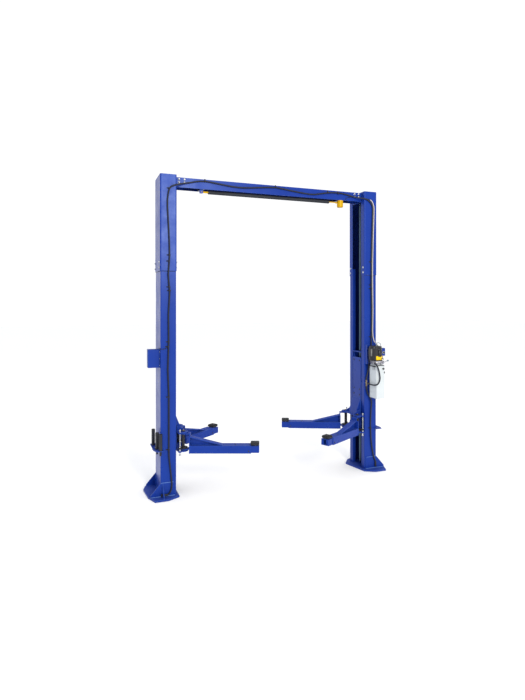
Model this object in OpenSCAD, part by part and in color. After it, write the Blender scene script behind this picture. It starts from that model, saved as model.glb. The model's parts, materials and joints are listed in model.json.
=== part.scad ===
// Two post car lift with an overhead beam, swing arms and a hydraulic power unit.
// Millimetres. X runs along the beam, Y towards the rear, Z up.
// The origin lies on the floor, midway between the two columns.
// Most modules draw the right-hand piece; on_side() mirrors them to the left.

/* [Columns] */
// Height of the column tops above the floor
overall_h = 4000; // [3700:10:4300]
// Clear width between the lower columns
bay_w = 2706; // [2560:2:2900]
// Size of a column along the beam
col_depth = 194; // [184:1:206]
// Size of a column across the beam
col_w = 408; // [396:2:440]
// Sheet thickness of the lower column
col_wall = 6; // [5:0.5:8]
// Height of the lower column
col_h = 2900; // [2860:10:3000]
// Width of the slot that faces the other column
mouth_w = 244; // [236:2:252]
// Outer radius of the column's bends
col_bend = 10; // [8:1:14]
// Depth of the folded lips beside the slot
lip_return = 50; // [40:1:56]
// Underside of the upper sleeve
sleeve_z = 2800; // [2700:10:2850]
// Sheet thickness of the upper sleeve
sleeve_wall = 6; // [5:0.5:8]
// Clearance between lower column and sleeve
sleeve_gap = 0.5; // [0.3:0.1:0.9]

/* [Base] */
// Thickness of the base plate
base_t = 20; // [15:1:25]
// Half of the base plate's size across the beam
base_half_w = 328; // [322:1:350]
// Reach of the base plates outside the column
base_out = 170; // [160:1:200]
// Reach of the right base plate's nose into the bay
base_in = 113; // [90:1:120]
// Radius of an anchor hole
anchor_r = 9; // [7:0.5:11]
// Thickness of the foot gussets
gusset_t = 10; // [8:1:14]
// Height of the foot gussets above the floor
gusset_h = 182; // [150:1:240]
// Reach of the foot gussets outside the column
gusset_reach = 122; // [100:1:124]

/* [Beam] */
// Distance of the beam's front face before the middle plane
beam_front = 130; // [126:1:150]
// Size of the beam from front to rear
beam_w = 170; // [160:2:230]
// Height of the beam
beam_h = 126; // [110:1:140]
// Sheet thickness of the beam
beam_wall = 5; // [4:0.5:8]
// Distance of the beam's top below the column tops
beam_drop = 12; // [8:1:30]
// Gap between the beam's end and the column
beam_end_gap = 6; // [4:1:12]
// Length of the tongue that enters the beam
tongue_len = 130; // [110:1:160]
// Clearance between tongue and beam
tongue_gap = 0.4; // [0.2:0.1:0.8]

/* [Carriage] */
// Underside of the yoke's lower plate at rest
yoke_z = 545; // [520:1:600]
// Clear height between the yoke plates
yoke_gap = 215; // [200:1:240]
// Thickness of the yoke plates
yoke_t = 15; // [12:1:18]
// Height of the carriage post above the yoke's underside
post_h = 1055; // [900:5:1100]
// Height of the open window under the post's top plate
window_h = 78; // [60:1:90]
// Width of the carriage's face plate
face_w = 212; // [190:2:220]
// Wall of the carriage post
post_wall = 8; // [6:1:10]
// Clearance of the guide shoes in the column
shoe_gap = 0.5; // [0.3:0.1:0.8]
// Height of a guide shoe
shoe_h = 140; // [100:5:160]
// Distance of an arm pivot from the column, into the bay
pivot_in = 95; // [90:1:100]
// Distance of an arm pivot from the lift's middle plane
pivot_y = 165; // [158:1:170]
// Radius of an arm pin
pin_r = 19; // [16:0.5:20]
// Radial clearance between pin and bore
pin_gap = 0.1; // [0.05:0.01:0.1]
// Radius of the lock rods
rod_r = 7; // [6:0.5:8]
// Radius of the lift tube inside the column
tube_r = 22; // [18:1:26]

/* [Arms] */
// Height of an arm's outer tube
arm_h = 95; // [85:1:110]
// Width of an arm's outer tube
arm_w = 130; // [120:1:140]
// Wall of an arm's outer tube
arm_wall = 6; // [5:0.5:8]
// Drop of the arm's tube below the yoke's underside
arm_drop = 18; // [10:1:25]
// Reach of the left front and right rear arms' outer tubes from the pivot
long_reach = 855; // [820:5:870]
// Reach of the right front arm's outer tube
right_front_reach = 720; // [690:5:740]
// Reach of the left rear arm's outer tube
left_rear_reach = 652; // [630:2:700]
// Distance from the pivot to an arm's end plate
plate_x = 82; // [80:1:84]
// Thickness of the end plate
plate_t = 10; // [8:1:12]
// Width of the end plate
plate_w = 140; // [132:1:140]
// Height of the end plate
plate_h = 200; // [170:5:215]
// Width of the upstand between the end plate and the upper lug
upstand_w = 76; // [60:2:90]
// Reach of the sloped brace from the pivot
brace_reach = 492; // [400:2:560]
// Width of the sloped brace
brace_w = 80; // [60:1:100]
// Running clearance of the inner tube, sides and top
slide_gap = 1.5; // [1:0.1:2]
// Length of the inner tube that shows at rest
nose_len = 100; // [90:1:120]
// Distance of the pad's centre from the outer tube's end
pad_x = 48; // [44:1:52]
// Side of a square lifting pad
pad_side = 106; // [90:1:120]
// Angle of the left front arm at rest, from the line straight into the bay
left_front_angle = 20.5; // [15:0.5:80]
// Angle of the left rear arm at rest
left_rear_angle = 35; // [15:0.5:80]
// Angle of the right front arm at rest
right_front_angle = 28.2; // [15:0.1:80]
// Angle of the right rear arm at rest
right_rear_angle = 23.5; // [15:0.5:80]

/* [Arm restraint] */
// Teeth on a full turn of the gear
gear_teeth = 26; // [22:1:30]
// Radius of the gear's tips
gear_tip_r = 54; // [50:0.5:55]
// Depth of a gear tooth
gear_tooth = 7; // [5:0.5:8]
// Thickness of the gear
gear_t = 18; // [14:1:20]
// Clearance between the gear and the toothed block
mesh_gap = 5; // [5:0.5:6]

/* [Shut-off bar] */
// Radius of the padding
padding_r = 23; // [18:0.5:24]
// Distance of the padding's left end from the middle
padding_left = 918; // [850:1:940]
// Distance of the padding's right end from the middle
padding_right = 835; // [780:1:900]
// Radius of the bar itself
bar_r = 8; // [6:0.5:9]
// Distance of the bar's axis below the beam
bar_below = 30; // [28:1:36]
// Distance of the bar's axis before the middle plane
bar_front = 90; // [80:1:92]
// Distance of the bar's pivot from the middle
bar_pivot = 1010; // [990:5:1040]
// Distance of the switch from the middle
switch_x = 1018; // [1010:1:1060]
// Radius of the switch housing
switch_r = 44; // [36:1:46]

/* [Power unit] */
// Width of the oil tank
tank_w = 135; // [120:1:150]
// Depth of the oil tank
tank_d = 187; // [160:1:200]
// Height of the oil tank
tank_h = 480; // [400:5:520]
// Underside of the oil tank
tank_z = 1060; // [1000:5:1100]
// Radius of the motor
motor_r = 92; // [85:1:95]
// Height of the motor
motor_h = 200; // [180:1:220]
// Height of the valve block
block_h = 45; // [40:1:60]
// Space between the column and the tank
unit_off = 51; // [46:1:60]

/* [Lock covers and racks] */
// Underside of the lock covers
lock_z = 1600; // [1500:5:1700]
// Height of a lock cover
lock_h = 225; // [200:5:250]
// Underside of the adapter racks' shelves
rack_z = 585; // [560:5:620]
// Radius of a height adapter
adapter_r = 22; // [18:1:24]

/* [Hoses] */
// Radius of the hydraulic hose
hose_r = 10; // [8:0.5:10]
// Radius of the electric conduit
conduit_r = 6; // [5:0.5:7]

/* [Hidden] */
$fn = 48;

blue = [0.13, 0.25, 0.66];
black = [0.08, 0.08, 0.10];
zinc = [0.72, 0.73, 0.75];
yellow = [0.98, 0.76, 0.05];

x_in = bay_w / 2;
x_out = x_in + col_depth;
x_mid = (x_in + x_out) / 2;
col_front = -col_w / 2;
sleeve_step = sleeve_gap + sleeve_wall;
sleeve_in = x_in - sleeve_step;
beam_top = overall_h - beam_drop;
beam_z = beam_top - beam_h;
beam_half = sleeve_in - beam_end_gap;
beam_inner_w = beam_w - 2 * beam_wall;
beam_y = -beam_front;
beam_inner_y = beam_y + beam_wall;

pivot_x = x_in - pivot_in;
yoke_low = yoke_z + yoke_t;
yoke_high = yoke_low + yoke_gap;
yoke_top = yoke_high + yoke_t;
lug_gap = 5;
lug_t = 12;
lug_r = 42;
lug_low = yoke_low + lug_gap;
lug_high = yoke_high - lug_gap;
arm_z = yoke_z - arm_drop;
arm_top = arm_z + arm_h;
gear_z = lug_low + lug_t;

// The lock rods stand beside the pivots, outboard and away from the middle
rod_off = [52, 60];
rod_x = pivot_x + rod_off[0];
rod_y = pivot_y + rod_off[1];
rod_dist = norm(rod_off);
rod_below = 42;
rod_above = 35;
lobe_r = 62;

post_x = x_in + col_wall + 7;
post_depth = col_depth - 2 * col_wall - 20;
post_w = 212;
post_top = yoke_z + post_h;
crown_t = 10;
crown_top = post_top + window_h + crown_t;
face_in = x_in - 4;
tube_y = 64;
tube_x = x_mid;
tube_top = overall_h - 120;

seat_gap = 0.3;
inner_w = arm_w - 2 * arm_wall - 2 * slide_gap;
inner_z = arm_z + arm_wall + seat_gap;
inner_h = arm_h - 2 * arm_wall - seat_gap - slide_gap;
inner_wall = 6;
long_inner = 650;
short_inner = 550;
stem_r = 15.5;
socket_r = 24;
pad_plate_t = 8;
pad_rubber_t = 20;
pad_z = arm_top + 6;

bar_z = beam_z - bar_below;
bar_y = -bar_front;
bar_end = switch_x - switch_r - 6;
switch_h = 92;

tank_x = x_mid + 17.5;
tank_back = col_front - unit_off;
tank_top = tank_z + tank_h;
block_d = tank_d - 22;
block_z = tank_top;
motor_z = block_z + block_h;
motor_top = motor_z + motor_h;
motor_x = x_mid + 5;
motor_y = col_front - motor_r - 30;

hose_y = col_front - sleeve_step - hose_r - 1.5;
beam_hose_y = beam_y - hose_r - 1.5;
tee_x = 1368;
tee_y = -232;
tee_z = 1254;
tee_half = 45;
left_entry = [-1484, -232, 42];
right_entry = [1520, -230, 88];
entry_r = 12;
port = [tank_x - tank_w / 2 - 12, tank_back - block_d + 2, block_z + 8];
rack_top = rack_z + 6;

// Points that the hoses pass, along their clips
main_route = [
    left_entry, left_entry + [10, 0, 0], left_entry + [20, 0, 0], [-1440, -232, 62],
    [-1420, -230, 100], [-1412, -228, 165], [-1421, -226, 275], [-1442, -223, 465],
    [-1448, hose_y, 600], [-1448, hose_y, 1240], [-1460, hose_y, 1580],
    [-1449, hose_y, 1920], [-1453, hose_y, 2255], [-1438, hose_y, 2530], [-1455, hose_y, 2750],
    [-1440, hose_y, 2970], [-1446, hose_y, 3240], [-1465, hose_y, 3600], [-1459, hose_y, 3730],
    [-1438, hose_y, 3822], [-1395, hose_y, 3856], [-1350, -223, 3872], [-1318, -205, 3884],
    [-1270, -170, 3902], [-1215, -150, 3918], [-1150, -143, 3932], [-1080, beam_hose_y, 3950],
    [-972, beam_hose_y, 3962], [-813, beam_hose_y, 3946],
    [-638, beam_hose_y, 3926], [-501, beam_hose_y, 3919], [-362, beam_hose_y, 3926],
    [-192, beam_hose_y, 3944], [5, beam_hose_y, 3960], [216, beam_hose_y, 3936],
    [441, beam_hose_y, 3912], [595, beam_hose_y, 3910], [780, beam_hose_y, 3946],
    [960, beam_hose_y, 3960], [1100, beam_hose_y, 3944], [1180, -146, 3926], [1240, -163, 3912],
    [1300, -196, 3900], [1350, -222, 3888], [1400, hose_y, 3872], [1450, hose_y, 3832],
    [1478, hose_y, 3770], [1478, hose_y, 3680],
    [1470, hose_y, 3450], [1457, hose_y, 2990], [1456, hose_y, 2630], [1462, hose_y, 2300],
    [1456, hose_y, 1912], [1452, -222, 1780], [1446, -222, 1690], [1434, -222, 1600],
    [1416, -226, 1520], [1394, -230, 1420], [1376, tee_y, 1354],
    [tee_x, tee_y, tee_z + tee_half + 28], [tee_x, tee_y, tee_z + tee_half + 14],
    [tee_x, tee_y, tee_z + tee_half]
];
lower_route = [
    [tee_x, tee_y, tee_z - tee_half], [tee_x, tee_y, tee_z - tee_half - 14],
    [tee_x, tee_y, tee_z - tee_half - 28], [1377, tee_y, 1140], [1397, -231, 1085],
    [1432, -229, 1035],
    [1455, -226, 970], [1450, -222, 870], [1443, -221, 720], [1443, -221, 560],
    [1458, -223, 360], [1490, -228, 190], [1512, -230, 132],
    right_entry + [0, 0, 24], right_entry + [0, 0, 12], right_entry
];
loop_route = [
    port, port - [0, 8, 0], port - [0, 16, 0], [1390, -456, 1534], [1401, -469, 1502],
    [1418, -472, 1450], [1430, -471, 1395], [1434, -470, 1345], [1424, -469, 1303],
    [1402, -467, 1272], [1376, -456, 1259], [1360, -428, 1255], [1356, -380, 1253],
    [1361, -325, 1253], [tee_x, tee_y - 60, tee_z], [tee_x, tee_y - 45, tee_z],
    [tee_x, tee_y - 30, tee_z]
];
conduit_route = [
    [1436, hose_y, 3880], [1468, hose_y, 3855], [1496, hose_y, 3792], [1499, hose_y, 3690],
    [1490, hose_y, 3450], [1477, hose_y, 2990], [1477, hose_y, 2630], [1482, hose_y, 2300],
    [1477, hose_y, 2000], [1486, -226, 1890], [motor_x + 42, -242, motor_top + 53],
    [motor_x + 48, -266, motor_top + 47], [motor_x + 51, motor_y + 39, motor_top + 31],
    [motor_x + 51, motor_y + 34, motor_top + 1]
];

// Smooth curve through the points p, with n steps between neighbours
function spline(p, n) = [
    for (i = [0:len(p) - 2]) let (
        a = p[max(i - 1, 0)], b = p[i], c = p[i + 1], d = p[min(i + 2, len(p) - 1)])
        for (k = [0:n - 1]) let (t = k / n)
            0.5 * (2 * b + (c - a) * t + (2 * a - 5 * b + 4 * c - d) * t * t
                + (3 * b - a - 3 * c + d) * t * t * t),
    p[len(p) - 1]
];
function unit(v) = v / norm(v);
function tangents(q) = [
    for (i = [0:len(q) - 1]) unit(q[min(i + 1, len(q) - 1)] - q[max(i - 1, 0)])
];
// Normals carried along the curve without twist
function carried(t, n, i = 0) = i == len(t) ? [] :
    let (m = unit(n - (n * t[i]) * t[i])) concat([m], carried(t, m, i + 1));

// Round hose of radius r along the points p
module hose(p, r, steps = 2, sides = 10) {
    q = spline(p, steps);
    t = tangents(q);
    m = carried(t, abs(t[0][1]) < 0.8 ? [0, 1, 0] : [1, 0, 0]);
    rings = len(q);
    points = [
        for (i = [0:rings - 1]) for (k = [0:sides - 1])
            q[i] + r * (cos(360 * k / sides) * m[i] + sin(360 * k / sides) * cross(t[i], m[i]))
    ];
    walls = [
        for (i = [0:rings - 2]) for (k = [0:sides - 1]) let (j = (k + 1) % sides)
            each [
                [i * sides + k, (i + 1) * sides + k, i * sides + j],
                [i * sides + j, (i + 1) * sides + k, (i + 1) * sides + j]
            ]
    ];
    caps = [
        [for (k = [0:sides - 1]) k],
        [for (k = [0:sides - 1]) (rings - 1) * sides + sides - 1 - k]
    ];
    polyhedron(points, concat(walls, caps));
}

// Right-hand pieces as drawn, left-hand ones mirrored
module on_side(side) {
    mirror([side < 0 ? 1 : 0, 0, 0]) children();
}

// Rectangle with round corners, drawn from its lower left corner
module round_rect(size, r) {
    translate([r, 0]) square([size[0] - 2 * r, size[1]]);
    translate([0, r]) square([size[0], size[1] - 2 * r]);
    for (x = [r, size[0] - r]) for (y = [r, size[1] - r]) translate([x, y]) circle(r);
}

// Upright plate in the XZ plane, its front at y, from an outline of x and z
module upright(outline, y, t) {
    translate([0, y + t, 0]) rotate([90, 0, 0]) linear_extrude(t) polygon(outline);
}

// Column section: a channel whose slot faces the bay, its inner face at x = 0
module channel(depth, width, wall, bend, lip = 0) {
    difference() {
        translate([0, -width / 2]) round_rect([depth, width], bend);
        translate([wall, wall - width / 2])
            round_rect([depth - 2 * wall, width - 2 * wall], max(bend - wall, 1));
        translate([-1, -mouth_w / 2]) square([wall + 2, mouth_w]);
    }
    if (lip > 0) for (y = [-mouth_w / 2 - wall, mouth_w / 2]) translate([0, y]) square([lip, wall]);
}

// Plan of a base plate; the right one has a nose towards the bay
function base_plan(side) = [
    [x_in - 32, -250], [x_in + 112, -base_half_w], [x_out + 83, -base_half_w],
    [x_out + base_out - 25, -170], [x_out + base_out, 105], [x_out + base_out - 34, 213],
    [x_out + 73, base_half_w], [x_in + 112, base_half_w], [x_in - 22, 250],
    if (side > 0) [x_in - base_in, 130]
];

module base(side) {
    color(blue) on_side(side) difference() {
        union() {
            linear_extrude(base_t) polygon(base_plan(side));
            for (m = [0, 1]) mirror([0, m, 0]) foot_gusset();
            mirror([0, side < 0 ? 0 : 1, 0]) foot_fin();
        }
        for (p = anchors()) translate([p[0], p[1], -1]) cylinder(h = base_t + 2, r = anchor_r);
    }
}

// Anchor holes: four on a rectangle and two outboard
function anchors() = [
    for (x = [x_mid - 50, x_mid + 130]) for (y = [-262, 262]) [x, y],
    for (y = [-100, 100]) [x_out + 88, y]
];

// Plate along the column's face
module foot_gusset() {
    toe = x_out + gusset_reach;
    low = base_t - 1;
    upright([
        [x_in + 14, low], [x_in + 14, gusset_h - 16], [x_in + 20, gusset_h - 5],
        [x_in + 32, gusset_h], [x_out, gusset_h], [toe, base_t + 24], [toe, low]
    ], col_front - gusset_t, gusset_t);
}

// Triangular fin between a gusset and the base plate, with a passage for the hose
module foot_fin() {
    root = -col_front + gusset_t - 1;
    toe = base_half_w - 5;
    low = base_t - 1;
    translate([x_out - 22, 0, 0]) rotate([90, 0, -90]) linear_extrude(gusset_t) difference() {
        polygon([
            [root, low], [root, gusset_h - 12], [root + 9, gusset_h - 12], [toe, base_t + 8],
            [toe, low]
        ]);
        translate([-left_entry[1], left_entry[2]]) circle(entry_r + 1);
    }
}

module lower_column(side) {
    color(blue) on_side(side) translate([x_in, 0, base_t])
        linear_extrude(col_h - base_t)
            channel(col_depth, col_w, col_wall, col_bend, lip_return);
}

// Upper sleeve with the plate that closes its slot and the tongue that enters the beam
module column_top(side) {
    cover_h = beam_drop + beam_h + 2;
    tongue_w = beam_inner_w - 2 * tongue_gap;
    tongue_y = beam_inner_y + tongue_gap;
    tongue_t = 8;
    color(blue) on_side(side) {
        translate([sleeve_in, 0, sleeve_z]) linear_extrude(overall_h - sleeve_z)
            channel(col_depth + 2 * sleeve_step, col_w + 2 * sleeve_step, sleeve_wall,
                col_bend + sleeve_wall);
        translate([sleeve_in, -mouth_w / 2 - 1, overall_h - cover_h])
            cube([sleeve_wall, mouth_w + 2, cover_h]);
        difference() {
            translate([sleeve_in - tongue_len, tongue_y, beam_z + 8])
                cube([tongue_len + 1, tongue_w, beam_h - beam_wall - tongue_gap - 8]);
            translate([sleeve_in - tongue_len - 1, tongue_y + tongue_t, beam_z])
                cube([tongue_len + 2, tongue_w - 2 * tongue_t,
                    beam_h - beam_wall - tongue_gap - tongue_t]);
        }
    }
}

// Steel tube of the lifting cylinder, on its foot block
module lift_tube(side) {
    foot = [70, 80, 30];
    on_side(side) {
        color(blue) translate([tube_x - foot[0] / 2, tube_y - foot[1] / 2, base_t]) cube(foot);
        color(zinc) translate([tube_x, tube_y, base_t + foot[2] - 1])
            cylinder(h = tube_top - base_t - foot[2] + 1, r = tube_r);
        color(blue) translate([tube_x - 40, tube_y - 40, tube_top - 15])
            cube([x_out + sleeve_gap - tube_x + 40, 80, 12]);
    }
}

// Inverted channel with the ears of the shut-off bar and the switch's cross plate
module overhead_beam() {
    ear_t = 6;
    color(blue) {
        difference() {
            translate([-beam_half, beam_y, beam_z]) cube([2 * beam_half, beam_w, beam_h]);
            translate([-beam_half - 1, beam_inner_y, beam_z - 1])
                cube([2 * beam_half + 2, beam_inner_w, beam_h - beam_wall + 1]);
        }
        for (x = [-bar_pivot - 20, switch_x - switch_r]) translate([x, beam_inner_y - 1, beam_z])
            cube([x < 0 ? 56 : 2 * switch_r + 6, beam_inner_w + 2, ear_t]);
        difference() {
            for (y = [bar_y - 8 - seat_gap - ear_t, bar_y + 8 + seat_gap])
                translate([-bar_pivot - 20, y, bar_z - 16]) cube([40, ear_t, bar_below + 17]);
            translate([-bar_pivot, bar_y - 20, bar_z]) rotate([-90, 0, 0])
                cylinder(h = 40, r = 5 + pin_gap);
        }
    }
}

// Switch housing under the beam, with the finger that the bar rests on
module limit_switch() {
    finger_t = 5;
    color(yellow) {
        translate([switch_x, bar_y, beam_z - switch_h]) cylinder(h = switch_h, r = switch_r);
        translate([switch_x, bar_y, beam_z - switch_h - 6]) cylinder(h = 7, r = switch_r - 8);
        translate([bar_end - 24, bar_y - 6, bar_z - bar_r - seat_gap - finger_t])
            cube([switch_r, 12, finger_t]);
    }
}

// Bar with its hub and pin at the left end
module shutoff_bar() {
    color(yellow) {
        translate([-bar_pivot + 8, bar_y, bar_z]) rotate([0, 90, 0])
            cylinder(h = bar_pivot + bar_end - 8, r = bar_r);
        translate([-bar_pivot + 26, bar_y, bar_z]) rotate([0, 90, 0])
            cylinder(h = bar_pivot - padding_left - 26, r = bar_r + 4);
        translate([-bar_pivot, bar_y - 8, bar_z]) rotate([-90, 0, 0]) cylinder(h = 16, r = 14);
        translate([-bar_pivot, bar_y - 18, bar_z]) rotate([-90, 0, 0]) cylinder(h = 36, r = 5);
    }
}

module bar_padding() {
    color(black) difference() {
        translate([-padding_left, bar_y, bar_z]) rotate([0, 90, 0])
            cylinder(h = padding_left + padding_right, r = padding_r);
        translate([-padding_left - 1, bar_y, bar_z]) rotate([0, 90, 0])
            cylinder(h = padding_left + padding_right + 2, r = bar_r + 0.2);
    }
}

module main_hose() {
    color(black) hose(main_route, hose_r, 2, 8);
}

module lower_hose() {
    color(black) hose(lower_route, hose_r, 3, 8);
}

module loop_hose() {
    color(black) hose(loop_route, hose_r, 3, 10);
}

module hose_tee() {
    color([0.72, 0.62, 0.36]) {
        translate([tee_x, tee_y, tee_z - tee_half]) cylinder(h = 2 * tee_half, r = 10);
        for (z = [-tee_half, tee_half - 24]) translate([tee_x, tee_y, tee_z + z])
            cylinder(h = 24, r = 13, $fn = 6);
        translate([tee_x, tee_y, tee_z]) rotate([90, 0, 0]) cylinder(h = 30, r = 10);
        translate([tee_x, tee_y - 12, tee_z]) rotate([90, 30, 0])
            cylinder(h = 18, r = 13, $fn = 6);
        translate([tee_x, tee_y, tee_z]) rotate([-90, 0, 0])
            cylinder(h = -tee_y + col_front, r = 7);
    }
}

// Fittings where the hoses enter the feet of the columns
module hose_elbows() {
    gusset_face = col_front - gusset_t;
    stub_x = left_entry[0] - entry_r - 1;
    stub_z = right_entry[2] - 31;
    nut_r = 17;
    color(zinc) {
        translate(left_entry) rotate([0, -90, 0]) cylinder(h = 60, r = entry_r);
        translate(left_entry - [46, 0, 0]) rotate([0, -90, 0]) cylinder(h = 16, r = nut_r, $fn = 6);
        translate([stub_x, gusset_face, left_entry[2]]) rotate([90, 0, 0])
            cylinder(h = gusset_face - left_entry[1] + 2, r = entry_r);
        translate(right_entry - [0, 0, 43]) cylinder(h = 43, r = entry_r);
        translate([right_entry[0], gusset_face, stub_z]) rotate([90, 0, 0])
            cylinder(h = gusset_face - right_entry[1] + entry_r, r = entry_r);
    }
}

module electric_conduit() {
    color([0.72, 0.68, 0.62]) hose(conduit_route, conduit_r, 2, 8);
}

// Folded cover over the safety latch, open towards the column
module lock_cover(side) {
    size = [143, 110, lock_h];
    at = [x_out, -150, lock_z];
    sheet = 3;
    color(blue) on_side(side) mirror([0, side < 0 ? 0 : 1, 0]) translate(at) {
        difference() {
            cube(size);
            translate([-1, sheet, sheet])
                cube([size[0] + 1 - sheet, size[1] - 2 * sheet, size[2] - 2 * sheet]);
        }
        for (y = [-18, size[1]]) translate([0, y, 0]) cube([sheet, 18, size[2]]);
    }
}

// Shelf round the column's corner with holes for the height adapters
module adapter_rack(side) {
    stem_hole = 14;
    color(blue) on_side(side) {
        translate([0, 0, rack_z]) linear_extrude(rack_top - rack_z) difference() {
            polygon([
                [x_out, 125], [x_out + 84, 125], [x_out + 84, -190], [x_out + 54, -262],
                [x_out - 32, -262], [x_out - 32, col_front], [x_out, col_front]
            ]);
            for (p = adapters()) translate(p) circle(stem_hole);
        }
        translate([x_out, -190, rack_z - 40]) cube([rack_top - rack_z, 300, 41]);
    }
}

function adapters() = [
    [x_out + 53, 50], [x_out + 42, -50], [x_out + 33, -145], [x_out + 4, -235]
];

// Three stacking adapters, their stems dropped through the shelf
module height_adapters() {
    cup_h = 205;
    color(black) on_side(-1) for (i = [0, 2, 3])
        translate([adapters()[i][0], adapters()[i][1], rack_top]) {
            difference() {
                cylinder(h = cup_h, r = adapter_r);
                translate([0, 0, cup_h / 2]) cylinder(h = cup_h, r = adapter_r - 5);
            }
            translate([0, 0, -60]) cylinder(h = 61, r = 13);
        }
}

// Channel bracket that carries the power unit on the column's front
module unit_bracket() {
    sheet = 6;
    face = tank_back + seat_gap;
    low = block_z - 12;
    high = motor_top + 14;
    color(blue) {
        translate([x_in + 10, col_front - sheet, low]) cube([col_depth - 22, sheet, high - low]);
        for (x = [x_in + 10, x_out - 18])
            translate([x, face, low]) cube([sheet, col_front - face, high - low]);
        translate([x_in + 10, face, low])
            cube([col_depth - 22, sheet, motor_z - seat_gap - low]);
    }
}

// Electric motor with its capacitor cover, junction box and lifting eye
module motor() {
    color([0.2, 0.2, 0.22]) {
        translate([motor_x, motor_y, motor_z]) cylinder(h = 12, r = motor_r - 6);
        translate([motor_x, motor_y, motor_z + 12]) cylinder(h = motor_h - 30, r = motor_r);
        translate([motor_x, motor_y, motor_top - 18]) cylinder(h = 18, r = motor_r - 5);
        translate([motor_x - motor_r - 12, motor_y - 40, motor_z + 60]) cube([40, 52, 112]);
        translate([motor_x - 12, motor_y - motor_r - 10, motor_z + 62]) cube([44, 60, 106]);
        translate([motor_x + 20, motor_y - 10, motor_top - 1]) rotate([90, 0, 20])
            rotate_extrude() translate([20, 0]) circle(4.5);
    }
}

module switch_box() {
    color(blue) difference() {
        translate([motor_x + motor_r, motor_y - 24, motor_z + 62]) {
            translate([2, 0, 0]) cube([52, 62, 108]);
            translate([-18, 20, 30]) cube([21, 30, 40]);
        }
        translate([motor_x, motor_y, motor_z]) cylinder(h = motor_h, r = motor_r + seat_gap);
    }
}

// Valve block under the motor, with the elbow of the hose and the lowering lever
module valve_block() {
    front = tank_back - block_d;
    lever_x = tank_x + 40;
    lever_z = block_z + block_h / 2;
    elbow_r = 11;
    color([0.78, 0.79, 0.8]) {
        translate([tank_x - tank_w / 2, front, block_z]) cube([tank_w, block_d, block_h]);
        translate(port) rotate([-90, 0, 0]) cylinder(h = 24, r = elbow_r);
        translate([port[0], front + 16, port[2]]) rotate([0, 90, 0]) cylinder(h = 16, r = elbow_r);
        translate([lever_x, front, lever_z]) rotate([90, 0, 0]) cylinder(h = 26, r = 12);
        translate([lever_x, front - 18, lever_z]) rotate([0, 72, 0]) cylinder(h = 78, r = 4.5);
    }
}

// Moulded tank with round shoulders, its filler cap and level plug
module oil_tank() {
    r = 16;
    neck = 34;
    color([0.9, 0.94, 0.97]) difference() {
        translate([tank_x - tank_w / 2, tank_back - tank_d, tank_z]) {
            linear_extrude(tank_h - neck) round_rect([tank_w, tank_d], r);
            hull() {
                translate([r, r, tank_h - neck - 1]) cylinder(h = 1, r = r, $fn = 32);
                translate([tank_w - r, r, tank_h - neck - 1]) cylinder(h = 1, r = r, $fn = 32);
                translate([r, tank_d - r, tank_h - neck - 1]) cylinder(h = 1, r = r, $fn = 32);
                translate([tank_w - r, tank_d - r, tank_h - neck - 1])
                    cylinder(h = 1, r = r, $fn = 32);
                for (x = [28, tank_w - 28]) for (y = [46, tank_d - 28])
                    translate([x, y, tank_h - 1]) cylinder(h = 1, r = 12, $fn = 32);
            }
        }
    }
    color(black) {
        translate([tank_x + 38, tank_back - tank_d + 2, tank_top - 62]) rotate([90, 0, 0])
            cylinder(h = 14, r = 13);
        translate([tank_x + tank_w / 2 - 2, tank_back - 120, tank_top - 118]) rotate([0, 90, 0])
            cylinder(h = 18, r = 13);
    }
}

// Plan of a yoke plate: two lobes for the arm pins and two ears for the lock rods
module yoke_plan() {
    back = x_in - 15;
    difference() {
        union() {
            translate([pivot_x - 33, -pivot_y]) square([back - pivot_x + 33, 2 * pivot_y]);
            translate([back - 1, -face_w / 2]) square([face_in - back + 2, face_w]);
            for (s = [-1, 1]) {
                translate([pivot_x, s * pivot_y]) circle(lobe_r);
                translate([rod_x, s * rod_y]) circle(20);
                translate([rod_x - 20, s * (pivot_y + rod_y) / 2 - rod_off[1] / 2])
                    square([40, rod_off[1]]);
            }
        }
        for (s = [-1, 1]) {
            translate([pivot_x, s * pivot_y]) circle(pin_r + pin_gap);
            translate([rod_x, s * rod_y]) circle(rod_r + 0.5);
        }
    }
}

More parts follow.
